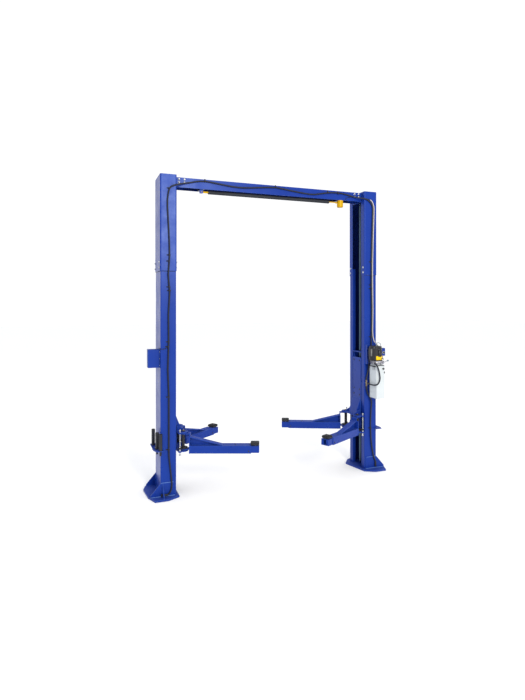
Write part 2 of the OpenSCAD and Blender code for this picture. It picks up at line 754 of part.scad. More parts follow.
// Post in the column, guide shoes, face plate, sloped brace and the two yoke plates
module carriage(side) {
    slope_low = pivot_x + 4;
    slope_top = yoke_top + 220;
    cheek = 100;
    shoe_x = x_in + lip_return + shoe_gap;
    shoe_in = post_w / 2 - 6;
    shoe = [x_out - col_wall - shoe_gap - shoe_x, col_w / 2 - col_wall - shoe_gap - shoe_in];
    color(blue) on_side(side) {
        difference() {
            translate([post_x, -post_w / 2, yoke_z]) cube([post_depth, post_w, post_h]);
            translate([post_x + post_wall, -post_w / 2 + post_wall, yoke_z - 1])
                cube([post_depth - 2 * post_wall, post_w - 2 * post_wall, post_h + 2]);
        }
        for (s = [-1, 1]) translate([post_x, s * (post_w - post_wall) / 2 - post_wall / 2,
            post_top - 1]) cube([post_depth, post_wall, window_h + 2]);
        difference() {
            translate([face_in, -post_w / 2, crown_top - crown_t])
                cube([post_x + post_depth - face_in, post_w, crown_t]);
            translate([tube_x, tube_y, crown_top - crown_t - 1])
                cylinder(h = crown_t + 2, r = tube_r + 8);
        }
        for (m = [0, 1]) mirror([0, m, 0]) for (z = [yoke_z + 10, crown_top - crown_t - shoe_h])
            translate([shoe_x, shoe_in, z]) linear_extrude(shoe_h) round_rect(shoe, 5);
        translate([face_in, -face_w / 2, yoke_z]) cube([post_x - face_in + 1, face_w, post_h]);
        for (z = [yoke_z, yoke_high]) translate([0, 0, z]) linear_extrude(yoke_t) yoke_plan();
        upright([
            [face_in + 1, slope_top], [slope_low, yoke_top - 1], [slope_low + 9, yoke_top - 1],
            [face_in + 1, slope_top - 20]
        ], -cheek, 2 * cheek);
        for (y = [-cheek, cheek - 8]) upright([
            [face_in + 1, slope_top], [slope_low, yoke_top - 1], [face_in + 1, yoke_top - 1]
        ], y, 8);
        for (y = [-122, 114]) upright([
            [x_in - 20, yoke_top - 1], [x_in - 20, yoke_top + 60], [pivot_x + 24, yoke_top + 45],
            [pivot_x - 33, yoke_top + 4], [pivot_x - 33, yoke_top - 1]
        ], y, 8);
        for (s = [-1, 1]) translate([x_in - 22, s * 118 - 16, yoke_low - 1])
            cube([8, 32, yoke_gap + 2]);
    }
}

module arm_pins(side) {
    color(black) on_side(side) for (s = [-1, 1]) translate([pivot_x, s * pivot_y, 0]) {
        translate([0, 0, yoke_z - 12]) cylinder(h = yoke_top - yoke_z + 13, r = pin_r);
        translate([0, 0, yoke_top]) cylinder(h = 11, r = pin_r + 6);
        translate([0, 0, yoke_z - 12]) cylinder(h = 12, r = pin_r + 4);
    }
}

// Outline of the gear, its teeth cut to tip radius r
module gear_plan(r) {
    pitch = 360 / gear_teeth;
    root = r - gear_tooth;
    union() {
        circle(root);
        for (i = [0:gear_teeth - 1]) rotate(i * pitch) polygon([
            [root - 3, -root * sin(pitch * 0.3)], [r, -r * sin(pitch * 0.13)],
            [r, r * sin(pitch * 0.13)], [root - 3, root * sin(pitch * 0.3)]
        ]);
    }
}

// Sprung rod with a toothed block that faces the gear of the arm
module lock_rods(side) {
    block_z = gear_z + 6;
    heading = atan2(rod_off[1], rod_off[0]);
    on_side(side) for (m = [0, 1]) mirror([0, m, 0]) translate([rod_x, rod_y, 0]) {
        color(zinc) {
            translate([0, 0, yoke_z - rod_below])
                cylinder(h = yoke_top - yoke_z + rod_below + rod_above, r = rod_r);
            translate([0, 0, yoke_z - rod_below]) cylinder(h = 16, r = rod_r + 5);
            translate([0, 0, yoke_top + rod_above - 12]) cylinder(h = 12, r = rod_r + 4);
            translate([0, 0, yoke_low]) cylinder(h = block_z - yoke_low + 1, r = rod_r + 4);
        }
        color(black) translate([0, 0, block_z]) linear_extrude(17) rotate(heading)
            translate([-rod_dist, 0]) difference() {
                translate([rod_dist - 25, -18]) square([38, 36]);
                gear_plan(gear_tip_r + mesh_gap);
            }
    }
}

// Swing arm about its pivot at the origin, along +X
module arm(reach) {
    tube_x0 = plate_x + plate_t;
    web_x = brace_reach - 30;
    plate_top = arm_z + plate_h;
    color(blue) {
        difference() {
            translate([tube_x0 - 1, -arm_w / 2, arm_z]) cube([reach - tube_x0 + 1, arm_w, arm_h]);
            translate([tube_x0, -arm_w / 2 + arm_wall, arm_z + arm_wall])
                cube([reach, arm_w - 2 * arm_wall, arm_h - 2 * arm_wall]);
        }
        translate([plate_x, -plate_w / 2, arm_z]) cube([plate_t, plate_w, plate_h]);
        translate([plate_x, -upstand_w / 2, plate_top - 1])
            cube([plate_t, upstand_w, lug_high - plate_top + 1]);
        for (z = [lug_low, lug_high - lug_t]) translate([0, 0, z]) linear_extrude(lug_t)
            difference() {
                union() {
                    circle(lug_r);
                    polygon([
                        [0, -lug_r], [plate_x + 1, -upstand_w / 2], [plate_x + 1, upstand_w / 2],
                        [0, lug_r]
                    ]);
                }
                circle(pin_r + pin_gap);
            }
        upright([
            [tube_x0 - 1, plate_top], [tube_x0 - 1, plate_top - 12], [brace_reach - 16, arm_top - 1],
            [brace_reach, arm_top - 1], [brace_reach, arm_top + 6], [tube_x0 + 6, plate_top]
        ], -brace_w / 2, brace_w);
        upright([
            [tube_x0 - 1, arm_top - 1], [tube_x0 - 1, plate_top - 6], [web_x, arm_top + 10],
            [web_x, arm_top - 1]
        ], -4, 8);
    }
    color(black) translate([0, 0, gear_z - 0.5]) linear_extrude(gear_t + 0.5) difference() {
        gear_plan(gear_tip_r);
        circle(pin_r + pin_gap);
    }
}

// Inner tube with the socket for the pad at its nose
module extension(reach, inner) {
    nose = reach + nose_len;
    color(blue) difference() {
        union() {
            difference() {
                translate([nose - inner, -inner_w / 2, inner_z]) cube([inner, inner_w, inner_h]);
                translate([nose - inner - 1, -inner_w / 2 + inner_wall, inner_z + inner_wall])
                    cube([inner + 2, inner_w - 2 * inner_wall, inner_h - 2 * inner_wall]);
            }
            translate([reach + pad_x, 0, inner_z]) cylinder(h = inner_h, r = socket_r);
            for (s = [-1, 1]) translate([nose - 40, s > 0 ? inner_w / 2 - 28 : -inner_w / 2 + 6,
                inner_z + 1]) cube([40, 22, inner_h - 2]);
        }
        translate([reach + pad_x, 0, inner_z - 1]) cylinder(h = inner_h + 2, r = stem_r + pin_gap);
    }
}

// Swivelling pad: stem, collar, steel plate and rubber
module pad(reach) {
    translate([reach + pad_x, 0, 0]) {
        color(zinc) {
            translate([0, 0, inner_z + 8]) cylinder(h = pad_z - inner_z - 7, r = stem_r);
            translate([0, 0, inner_z + inner_h + seat_gap])
                cylinder(h = pad_z - inner_z - inner_h - seat_gap + 1, r = socket_r);
        }
        color(blue) translate([-pad_side / 2, -pad_side / 2, pad_z]) linear_extrude(pad_plate_t)
            round_rect([pad_side, pad_side], 12);
        color(black) translate([-pad_side / 2, -pad_side / 2, pad_z + pad_plate_t - 0.5]) {
            linear_extrude(pad_rubber_t - 4) round_rect([pad_side, pad_side], 12);
            translate([5, 5, 0]) linear_extrude(pad_rubber_t + 0.5)
                round_rect([pad_side - 10, pad_side - 10], 10);
        }
    }
}

// Places an arm's piece at its pivot: front is -1 for the front arms and 1 for the rear ones
module at_pivot(side, front, angle) {
    on_side(side) mirror([0, front > 0 ? 1 : 0, 0])
        translate([pivot_x, -pivot_y, 0]) rotate(180 + angle) children();
}

base(-1);  // left_base
base(1);  // right_base
lower_column(-1);  // left_column
lower_column(1);  // right_column
column_top(-1);  // left_column_top
column_top(1);  // right_column_top
lift_tube(-1);  // left_lift_tube
lift_tube(1);  // right_lift_tube
overhead_beam();
limit_switch();
shutoff_bar();
bar_padding();
main_hose();
lower_hose();
loop_hose();
hose_tee();
hose_elbows();
electric_conduit();
lock_cover(-1);  // left_lock_cover
lock_cover(1);  // right_lock_cover
adapter_rack(-1);  // left_adapter_rack
adapter_rack(1);  // right_adapter_rack
height_adapters();
unit_bracket();
motor();
switch_box();
valve_block();
oil_tank();
carriage(-1);  // left_carriage
carriage(1);  // right_carriage
arm_pins(-1);  // left_arm_pins
arm_pins(1);  // right_arm_pins
lock_rods(-1);  // left_lock_rods
lock_rods(1);  // right_lock_rods
at_pivot(-1, -1, left_front_angle) arm(long_reach);  // left_front_arm
at_pivot(-1, 1, left_rear_angle) arm(left_rear_reach);  // left_rear_arm
at_pivot(1, -1, right_front_angle) arm(right_front_reach);  // right_front_arm
at_pivot(1, 1, right_rear_angle) arm(long_reach);  // right_rear_arm
at_pivot(-1, -1, left_front_angle) extension(long_reach, long_inner);  // left_front_extension
at_pivot(-1, 1, left_rear_angle) extension(left_rear_reach, short_inner);  // left_rear_extension
at_pivot(1, -1, right_front_angle) extension(right_front_reach, short_inner);  // right_front_extension
at_pivot(1, 1, right_rear_angle) extension(long_reach, long_inner);  // right_rear_extension
at_pivot(-1, -1, left_front_angle) pad(long_reach);  // left_front_pad
at_pivot(-1, 1, left_rear_angle) pad(left_rear_reach);  // left_rear_pad
at_pivot(1, -1, right_front_angle) pad(right_front_reach);  // right_front_pad
at_pivot(1, 1, right_rear_angle) pad(long_reach);  // right_rear_pad
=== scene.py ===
# Looks of the two post car lift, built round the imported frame. All lengths are metres.
import json
import math
import random

import bmesh
import bpy
from mathutils import Matrix, Vector


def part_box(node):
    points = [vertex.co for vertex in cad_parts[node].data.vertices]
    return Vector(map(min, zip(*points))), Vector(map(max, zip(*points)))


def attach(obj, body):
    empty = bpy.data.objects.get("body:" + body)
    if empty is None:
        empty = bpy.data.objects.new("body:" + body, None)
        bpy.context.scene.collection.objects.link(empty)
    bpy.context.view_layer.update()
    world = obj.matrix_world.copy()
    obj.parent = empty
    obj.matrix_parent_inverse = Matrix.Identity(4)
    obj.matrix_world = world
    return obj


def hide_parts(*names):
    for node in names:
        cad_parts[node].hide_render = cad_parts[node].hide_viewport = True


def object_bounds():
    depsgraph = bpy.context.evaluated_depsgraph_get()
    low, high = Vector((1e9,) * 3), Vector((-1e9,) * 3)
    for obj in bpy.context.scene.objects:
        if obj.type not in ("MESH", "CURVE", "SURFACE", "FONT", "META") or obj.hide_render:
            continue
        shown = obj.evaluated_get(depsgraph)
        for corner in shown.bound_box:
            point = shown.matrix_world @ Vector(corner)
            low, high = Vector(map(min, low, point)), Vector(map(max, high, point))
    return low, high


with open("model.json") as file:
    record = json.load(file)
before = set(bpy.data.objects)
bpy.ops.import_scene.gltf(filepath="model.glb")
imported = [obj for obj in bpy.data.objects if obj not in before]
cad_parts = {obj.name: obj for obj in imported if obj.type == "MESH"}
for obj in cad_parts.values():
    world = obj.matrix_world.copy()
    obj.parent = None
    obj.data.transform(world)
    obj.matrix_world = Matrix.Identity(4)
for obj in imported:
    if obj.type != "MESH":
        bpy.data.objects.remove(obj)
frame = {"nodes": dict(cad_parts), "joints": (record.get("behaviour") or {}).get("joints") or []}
cad_low, cad_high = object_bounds()
nodes = frame["nodes"]
joint_of = {j["name"]: j for j in frame["joints"]}
random.seed(7)

# Camera at the photograph's viewing angle, its framing set by the shift
CAMERA_PLACE = (-2.495, -6.353, 2.433)
CAMERA_TURN = math.radians(-20.4)
CAMERA_SENSOR = 36
CAMERA_LENS = 25.47
CAMERA_SHIFT = -0.0707

camera_data = bpy.data.cameras.new("camera")
camera_data.sensor_width = CAMERA_SENSOR
camera_data.lens = CAMERA_LENS
camera_data.shift_y = CAMERA_SHIFT
camera = bpy.data.objects.new("camera", camera_data)
camera.location = CAMERA_PLACE
camera.rotation_euler = (math.radians(90), 0, CAMERA_TURN)
bpy.context.scene.collection.objects.link(camera)
bpy.context.scene.camera = camera

# Names that the loops run over, and directions
SIDES = {"left": -1, "right": 1}
ENDS = (-1, 1)
ARMS = ["left_front", "left_rear", "right_front", "right_rear"]
UP, DOWN = (0, 0, 1), (0, 0, -1)
FRONT, REAR = (0, -1, 0), (0, 1, 0)
RIGHT = (1, 0, 0)

# Sizes that the frame gives; what stands on both sides is measured on the right
column_low, column_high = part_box("right_column")
sleeve_low, sleeve_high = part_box("right_column_top")
base_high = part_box("right_base")[1]
beam_low, beam_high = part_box("overhead_beam")
tube_low, tube_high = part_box("right_lift_tube")
cover_low, cover_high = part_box("right_lock_cover")
rack_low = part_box("right_adapter_rack")[0]
tank_low, tank_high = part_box("oil_tank")
motor_low, motor_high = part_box("motor")
box_low, box_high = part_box("switch_box")
switch_low, switch_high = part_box("limit_switch")
padding_low, padding_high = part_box("bar_padding")
tee_low, tee_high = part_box("hose_tee")
arm_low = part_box("left_front_arm")[0].z
pad_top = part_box("left_front_pad")[1].z

COLUMN_IN, COLUMN_OUT = column_low.x, column_high.x
COLUMN_MID = (COLUMN_IN + COLUMN_OUT) / 2
COLUMN_FRONT = column_low.y
HALF_DEPTH = column_high.y
SLEEVE_FRONT, SLEEVE_OUT, SLEEVE_Z = sleeve_low.y, sleeve_high.x, sleeve_low.z
SLEEVE_IN = COLUMN_IN - (SLEEVE_OUT - COLUMN_OUT)
BASE_TOP = column_low.z
GUSSET_Y = HALF_DEPTH + 0.010
BEAM_FRONT = beam_low.y
BEAM_MID_Y = (beam_low.y + beam_high.y) / 2
BEAM_HALF_W = (beam_high.y - beam_low.y) / 2
BEAM_H = 0.126
BAR_Y = (padding_low.y + padding_high.y) / 2
BAR_Z = (padding_low.z + padding_high.z) / 2
TANK_RIGHT = tank_low.x + 0.135
TANK_FRONT = tank_high.y - 0.187
ARM_TOP = arm_low + 0.095
STEEL_TOP = pad_top - 0.020


# Shader helpers
def new_material(name, base, roughness, metallic=0.0):
    material = bpy.data.materials.new(name)
    material.use_nodes = True
    tree = material.node_tree
    shader = tree.nodes["Principled BSDF"]
    shader.inputs["Base Color"].default_value = (*base, 1)
    shader.inputs["Roughness"].default_value = roughness
    shader.inputs["Metallic"].default_value = metallic
    return material, tree, shader


def add(tree, kind, **values):
    node = tree.nodes.new(kind)
    for key, value in values.items():
        if key in node.inputs:
            node.inputs[key].default_value = value
        else:
            setattr(node, key, value)
    return node


def noise(tree, scale, detail=3.0, roughness=0.5, stretch=(1, 1, 1)):
    coords = add(tree, "ShaderNodeTexCoord")
    mapping = add(tree, "ShaderNodeMapping", Scale=stretch)
    texture = add(tree, "ShaderNodeTexNoise", Scale=scale, Detail=detail, Roughness=roughness)
    tree.links.new(coords.outputs["Object"], mapping.inputs["Vector"])
    tree.links.new(mapping.outputs["Vector"], texture.inputs["Vector"])
    return texture.outputs["Fac"]


def spread(tree, value, low, high, from_low=0.3, from_high=0.7):
    node = add(tree, "ShaderNodeMapRange")
    for key, number in zip(("From Min", "From Max", "To Min", "To Max"),
                           (from_low, from_high, low, high)):
        node.inputs[key].default_value = number
    tree.links.new(value, node.inputs["Value"])
    return node.outputs["Result"]


def blend_colour(tree, factor, first, second):
    node = add(tree, "ShaderNodeMix", data_type="RGBA")
    tree.links.new(factor, node.inputs["Factor"])
    for socket, colour in ((node.inputs[6], first), (node.inputs[7], second)):
        if isinstance(colour, tuple):
            socket.default_value = (*colour, 1)
        else:
            tree.links.new(colour, socket)
    return node.outputs[2]


def bump(tree, height, distance, strength, normal):
    node = add(tree, "ShaderNodeBump", Strength=strength, Distance=distance)
    tree.links.new(height, node.inputs["Height"])
    tree.links.new(normal, node.inputs["Normal"])
    return node.outputs["Normal"]


def rounded(tree, radius):
    node = add(tree, "ShaderNodeBevel", samples=6, Radius=radius)
    return node.outputs["Normal"]


# How far the rounded normal leaves the flat one where an edge takes the full paler tone, partly
# wear and partly a painted highlight
EDGE_SPREAD = 0.12


# Mask that is 1 on sharp edges, where the rounded normal leaves the flat one
def edge_mask(tree, normal):
    geometry = add(tree, "ShaderNodeNewGeometry")
    dot = add(tree, "ShaderNodeVectorMath", operation="DOT_PRODUCT")
    tree.links.new(normal, dot.inputs[0])
    tree.links.new(geometry.outputs["Normal"], dot.inputs[1])
    return spread(tree, dot.outputs["Value"], 1.0, 0.0, 1 - EDGE_SPREAD, 1.0)


# Mask that is 1 on faces that look up, where dust settles
def top_mask(tree):
    geometry = add(tree, "ShaderNodeNewGeometry")
    split = add(tree, "ShaderNodeSeparateXYZ")
    tree.links.new(geometry.outputs["Normal"], split.inputs[0])
    return spread(tree, split.outputs["Z"], 0.0, 1.0, 0.6, 1.0)


def combine(tree, operation, first, second):
    node = add(tree, "ShaderNodeMath", operation=operation)
    for socket, value in ((node.inputs[0], first), (node.inputs[1], second)):
        if isinstance(value, (int, float)):
            socket.default_value = value
        else:
            tree.links.new(value, socket)
    return node.outputs[0]


def multiply(tree, first, second):
    return combine(tree, "MULTIPLY", first, second)


# Materials. Dust dulls the faces that look up, and sharp edges turn to a paler tone that is partly
# wear and partly a painted highlight
NO_TINT = (1, 1, 1)
DUST_COLOUR = (0.22, 0.28, 0.48)
DUST_MOST = 0.08
DUST_DULLS = 0.38
SKIN_TINT = (0.80, 0.86, 1.0)


def gloss_paint(name, deep, light, edge, tint=NO_TINT, radius=0.0025):
    material, tree, shader = new_material(name, deep, 0.3)
    soft = rounded(tree, radius)
    body = blend_colour(tree, spread(tree, noise(tree, 1.7, 4.0), 0.0, 1.0), deep, light)
    # Sharp edges turn paler in patches: partly wear, partly a painted highlight
    wear_and_painted_highlight = multiply(tree, edge_mask(tree, soft), spread(tree, noise(tree, 22, 5.0), 0.30, 0.85))
    settled = spread(tree, noise(tree, 9, 6.0, 0.65), 0.01, DUST_MOST)
    dusty = multiply(tree, top_mask(tree), settled)
    painted = blend_colour(tree, wear_and_painted_highlight, body, edge)
    final = blend_colour(tree, dusty, painted, DUST_COLOUR)
    tree.links.new(final, shader.inputs["Base Color"])
    sheen = spread(tree, noise(tree, 6, 6.0, 0.6), 0.25, 0.38)
    dulled = combine(tree, "ADD", sheen, multiply(tree, top_mask(tree), DUST_DULLS))
    tree.links.new(dulled, shader.inputs["Roughness"])
    peel = bump(tree, noise(tree, 190, 2.0), 0.0006, 0.22, soft)
    tree.links.new(bump(tree, noise(tree, 3.2, 1.0), 0.004, 0.10, peel), shader.inputs["Normal"])
    shader.inputs["Specular IOR Level"].default_value = 0.30
    shader.inputs["Specular Tint"].default_value = (*tint, 1)
    return material


def metal(name, base, rough_low, rough_high, grain=(1, 1, 1), scale=60):
    material, tree, shader = new_material(name, base, rough_low, 1.0)
    soft = rounded(tree, 0.0012)
    fine = noise(tree, scale, 6.0, 0.65, grain)
    stains = spread(tree, noise(tree, 7, 5.0), 0.0, 0.5)
    dull = tuple(c * 0.62 for c in base)
    tree.links.new(blend_colour(tree, stains, base, dull), shader.inputs["Base Color"])
    tree.links.new(spread(tree, fine, rough_low, rough_high), shader.inputs["Roughness"])
    tree.links.new(bump(tree, fine, 0.0004, 0.25, soft), shader.inputs["Normal"])
    return material


def dull_skin(name, base, light, rough, bump_scale, depth, coat=0.0):
    material, tree, shader = new_material(name, base, rough)
    soft = rounded(tree, 0.0018)
    grain = noise(tree, bump_scale, 4.0, 0.6)
    patches = spread(tree, noise(tree, 5, 5.0), 0.0, 1.0)
    # Sharp edges turn paler in patches: partly wear, partly a painted highlight
    wear_and_painted_highlight = multiply(tree, edge_mask(tree, soft), spread(tree, noise(tree, 30, 4.0), 0.1, 0.8))
    body = blend_colour(tree, patches, base, light)
    pale = tuple(min(1.0, c * 1.8 + 0.03) for c in light)
    tree.links.new(blend_colour(tree, wear_and_painted_highlight, body, pale), shader.inputs["Base Color"])
    tree.links.new(spread(tree, grain, rough - 0.08, rough + 0.10), shader.inputs["Roughness"])
    tree.links.new(bump(tree, grain, depth, 0.5, soft), shader.inputs["Normal"])
    shader.inputs["Specular IOR Level"].default_value = 0.35
    shader.inputs["Specular Tint"].default_value = (*SKIN_TINT, 1)
    shader.inputs["Coat Weight"].default_value = coat
    return material


BLUE_TINT = (0.42, 0.56, 1.0)
BLUE = gloss_paint("blue_paint", (0.0047, 0.025, 0.226), (0.0070, 0.033, 0.261),
                   (0.07, 0.16, 0.54), BLUE_TINT, 0.004)
# Darker copy of the blue paint for the faces inside the hollows: painted shade
PAINTED_SHADE = gloss_paint("painted_shade_paint", (0.0045, 0.016, 0.120), (0.003, 0.010, 0.080),
                     (0.01, 0.03, 0.14), BLUE_TINT)
# Weld beads are a paler blue than the frame: a painted highlight on the beads
WELD_PAINTED_HIGHLIGHT = gloss_paint("weld_paint", (0.012, 0.050, 0.300), (0.018, 0.066, 0.350),
                   (0.12, 0.22, 0.62), BLUE_TINT, 0.001)
# Paler still for the foot's thick beads: a painted highlight
FOOT_WELD_HIGHLIGHT = gloss_paint("foot_weld_painted_highlight", (0.055, 0.120, 0.380), (0.080, 0.160, 0.440),
                   (0.20, 0.30, 0.70), BLUE_TINT, 0.001)
YELLOW = gloss_paint("yellow_paint", (0.46, 0.265, 0.002), (0.51, 0.30, 0.003),
                     (0.80, 0.52, 0.06), (1.0, 0.82, 0.35))
PATCH = gloss_paint("patch_yellow", (0.74, 0.48, 0.006), (0.80, 0.53, 0.010),
                    (0.85, 0.62, 0.08), (1.0, 0.85, 0.40))
DARK = gloss_paint("motor_paint", (0.013, 0.013, 0.016), (0.022, 0.022, 0.027),
                   (0.10, 0.10, 0.11))
GREY = gloss_paint("cover_grey", (0.13, 0.135, 0.145), (0.17, 0.175, 0.185), (0.3, 0.3, 0.31))
ZINC = metal("zinc_steel", (0.56, 0.58, 0.62), 0.20, 0.36)
DULL_STEEL = metal("dull_steel", (0.20, 0.26, 0.31), 0.28, 0.42)
# The lift tube's steel is darkened to a dark teal-grey: painted shade of the column's hollow
TUBE_WITH_PAINTED_SHADE = metal("drawn_tube_painted_shade", (0.095, 0.150, 0.215), 0.30, 0.45, (1, 1, 0.04), 90)
ALUMINIUM = metal("cast_aluminium", (0.40, 0.40, 0.46), 0.30, 0.48, scale=140)
BRASS = metal("fitting_brass", (0.34, 0.27, 0.17), 0.32, 0.50)
BLACK_STEEL = dull_skin("black_steel", (0.010, 0.010, 0.013), (0.022, 0.022, 0.026), 0.40, 160,
                        0.0004)
PAD_RUBBER = dull_skin("pad_rubber", (0.008, 0.008, 0.009), (0.016, 0.016, 0.018), 0.62, 240,
                       0.0008)
FOAM = dull_skin("padding_foam", (0.010, 0.011, 0.016), (0.018, 0.020, 0.026), 0.66, 300, 0.0012)
HOSE = dull_skin("hose_rubber", (0.006, 0.007, 0.013), (0.011, 0.012, 0.021), 0.42, 500, 0.0005)
CONDUIT = dull_skin("conduit_grey", (0.46, 0.42, 0.37), (0.56, 0.52, 0.47), 0.45, 300, 0.0004)
TANK = dull_skin("tank_white", (0.50, 0.545, 0.59), (0.53, 0.575, 0.62), 0.34, 120, 0.0004, 0.15)
BLACK_PLASTIC = dull_skin("black_plastic", (0.010, 0.010, 0.011), (0.018, 0.018, 0.020), 0.38,
                          220, 0.0003, 0.15)


# Gives each CAD node its material; a fused node is split by where its faces lie
def paint(node, material, parts=()):
    mesh = nodes[node].data
    mesh.materials.clear()
    mesh.materials.append(material)
    for extra, _ in parts:
        mesh.materials.append(extra)
    for face in mesh.polygons:
        face.material_index = 0
        for number, (_, inside) in enumerate(parts):
            if inside(face.center):
                face.material_index = number + 1
                break


# A face counts as inside when it lies deeper than a margin that is less than the wall, and inside
# faces take the darker paint as painted shade. The lips beside the mouth keep the outer paint as
# far as LIP_DEEP and LIP_Y
LIP_DEEP, LIP_Y = 0.052, 0.1295


def column_inside(centre):
    x, y = abs(centre.x), abs(centre.y)
    hollow = COLUMN_IN + 0.004 < x < COLUMN_OUT - 0.004 and y < HALF_DEPTH - 0.0045
    return hollow and not (x < COLUMN_IN + LIP_DEEP and y < LIP_Y)


def sleeve_inside(centre):
    between = SLEEVE_IN + 0.004 < abs(centre.x) < SLEEVE_OUT - 0.0035
    return between and abs(centre.y) < sleeve_high.y - 0.005


def beam_inside(centre):
    between = beam_high.z - BEAM_H < centre.z < beam_high.z - 0.002
    return between and abs(centre.y - BEAM_MID_Y) < BEAM_HALF_W - 0.0035


# The plates at the foot and the head of a lift tube, which take the darker paint as painted shade
def tube_ends(centre):
    return centre.z < tube_low.z + 0.0305 or centre.z > tube_high.z - 0.0195


def tank_fittings(centre):
    return centre.y < TANK_FRONT - 0.0005 or centre.x > TANK_RIGHT + 0.0005


# Heights between which the faces of the toothed blocks and of the gears lie
BLOCK_LOW, BLOCK_HIGH = 0.5820, 0.6005
GEAR_LOW, GEAR_HIGH, GEAR_R = 0.5755, 0.5955, 0.060
PAD_PLATE_T = 0.008


def is_gear(pivot):
    def inside(centre):
        flat = Vector((centre.x - pivot.x, centre.y - pivot.y))
        return GEAR_LOW < centre.z < GEAR_HIGH and flat.length < GEAR_R
    return inside


for node in nodes:
    paint(node, BLUE)
for node, material in {
    "shutoff_bar": YELLOW, "limit_switch": YELLOW, "bar_padding": FOAM, "main_hose": HOSE,
    "lower_hose": HOSE, "hose_tee": BRASS, "hose_elbows": BLACK_STEEL,
    "electric_conduit": CONDUIT, "height_adapters": BLACK_STEEL, "valve_block": ALUMINIUM,
    "left_arm_pins": BLACK_STEEL, "right_arm_pins": BLACK_STEEL,
}.items():
    paint(node, material)
# Faces inside the beam, the columns and the sleeves, and the lift tubes' end plates, take the
# painted shade
paint("overhead_beam", BLUE, [(PAINTED_SHADE, beam_inside)])
paint("motor", DARK, [(DULL_STEEL, lambda c: c.z > motor_high.z - 0.0225)])
paint("oil_tank", TANK, [(BLACK_PLASTIC, tank_fittings)])
for side in SIDES:
    paint(side + "_column", BLUE, [(PAINTED_SHADE, column_inside)])
    paint(side + "_column_top", BLUE, [(PAINTED_SHADE, sleeve_inside)])
    paint(side + "_lock_rods", ZINC, [(BLACK_STEEL, lambda c: BLOCK_LOW < c.z < BLOCK_HIGH)])
    paint(side + "_lift_tube", TUBE_WITH_PAINTED_SHADE, [(PAINTED_SHADE, tube_ends)])
for arm in ARMS:
    swing_at = Vector(joint_of[arm + "_swing"]["pos_m"])
    paint(arm + "_arm", BLUE, [(BLACK_STEEL, is_gear(swing_at))])
    paint(arm + "_pad", PAD_RUBBER, [
        (ZINC, lambda c: c.z < STEEL_TOP - PAD_PLATE_T),
        (BLACK_STEEL, lambda c: c.z < STEEL_TOP),
    ])

# Mesh helpers
SMOOTH_ANGLE = math.radians(35)


def piece(name, mesh_builder, material, body="frame"):
    bm = bmesh.new()
    mesh_builder(bm)
    bmesh.ops.recalc_face_normals(bm, faces=bm.faces)
    mesh = bpy.data.meshes.new(name)
    bm.to_mesh(mesh)
    bm.free()
    mesh.materials.append(material)
    for face in mesh.polygons:
        face.use_smooth = True
    obj = bpy.data.objects.new(name, mesh)
    bpy.context.scene.collection.objects.link(obj)
    obj.select_set(True)
    bpy.context.view_layer.objects.active = obj
    bpy.ops.object.shade_auto_smooth(angle=SMOOTH_ANGLE)
    obj.select_set(False)
    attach(obj, body)
    return obj


def frame_along(axis):
    return Vector(axis).to_track_quat("Z", "Y").to_matrix().to_4x4()


def circle_point(radius, k, sides, height=0.0):
    angle = math.tau * k / sides
    return Vector((radius * math.cos(angle), radius * math.sin(angle), height))


# Solid of revolution about axis through place: profile is a list of (radius, height)
def turned(bm, place, axis, profile, sides=24, angle=0.0):
    turn = Matrix.Translation(place) @ frame_along(axis) @ Matrix.Rotation(angle, 4, "Z")
    rings = []
    for radius, height in profile:
        corners = sides if radius else 1
        rings.append([bm.verts.new(turn @ circle_point(radius, k, sides, height))
                      for k in range(corners)])
    for low, high in zip(rings, rings[1:]):
        for k in range(sides):
            j = (k + 1) % sides
            if len(low) == 1:
                bm.faces.new((low[0], high[j], high[k]))
            elif len(high) == 1:
                bm.faces.new((low[k], low[j], high[0]))
            else:
                bm.faces.new((low[k], low[j], high[j], high[k]))


# Round or many-sided stud: straight as far as body_h, then drawn in to tip_r at its top
def stud(bm, place, axis, radius, body_h, tip_r, height, sides=24, angle=0.0):
    turned(bm, place, axis,
           [(0, 0), (radius, 0), (radius, body_h), (tip_r, height), (0, height)], sides, angle)


# Ring with bevelled edges, open on the side where it sits on something
def band(bm, place, axis, inner, outer, bevel, height, sides):
    turned(bm, place, axis,
           [(inner, 0), (outer, bevel), (outer, height - bevel), (inner, height)], sides)


# Bolt head on a washer that stands on place and looks along axis
def bolt(bm, place, axis, head_r, washer_r):
    washer_t = washer_r * 0.16
    head_t = head_r * 0.72
    head_place = Vector(place) + Vector(axis) * washer_t
    stud(bm, place, axis, washer_r, washer_t * 0.7, washer_r - washer_t * 0.3, washer_t)
    stud(bm, head_place, axis, head_r, head_t * 0.82, head_r * 0.93, head_t, 6,
         random.uniform(0, math.tau / 6))


# Small screw with a low round head
def screw(bm, place, axis, radius):
    stud(bm, place, axis, radius, radius * 0.35, radius * 0.8, radius * 0.62, 16)


# Flat-sided solid: an outline in the plane of u and v, pushed along their normal
def slab(bm, outline, origin, u, v, depth):
    u, v = Vector(u).normalized(), Vector(v).normalized()
    push = u.cross(v) * depth
    low = [bm.verts.new(Vector(origin) + u * a + v * b) for a, b in outline]
    high = [bm.verts.new(vert.co + push) for vert in low]
    bm.faces.new(low)
    bm.faces.new(list(reversed(high)))
    for k in range(len(low)):
        j = (k + 1) % len(low)
        bm.faces.new((low[k], high[k], high[j], low[j]))


def block(bm, low, high):
    wide, deep, tall = (b - a for a, b in zip(low, high))
    slab(bm, [(0, 0), (wide, 0), (wide, deep), (0, deep)], low, RIGHT, REAR, tall)


# Block given for the right rear, with signs that mirror it to another corner
def mirrored_block(bm, side, end, low, high):
    x = sorted((side * low[0], side * high[0]))
    y = sorted((end * low[1], end * high[1]))
    block(bm, (x[0], y[0], low[2]), (x[1], y[1], high[2]))


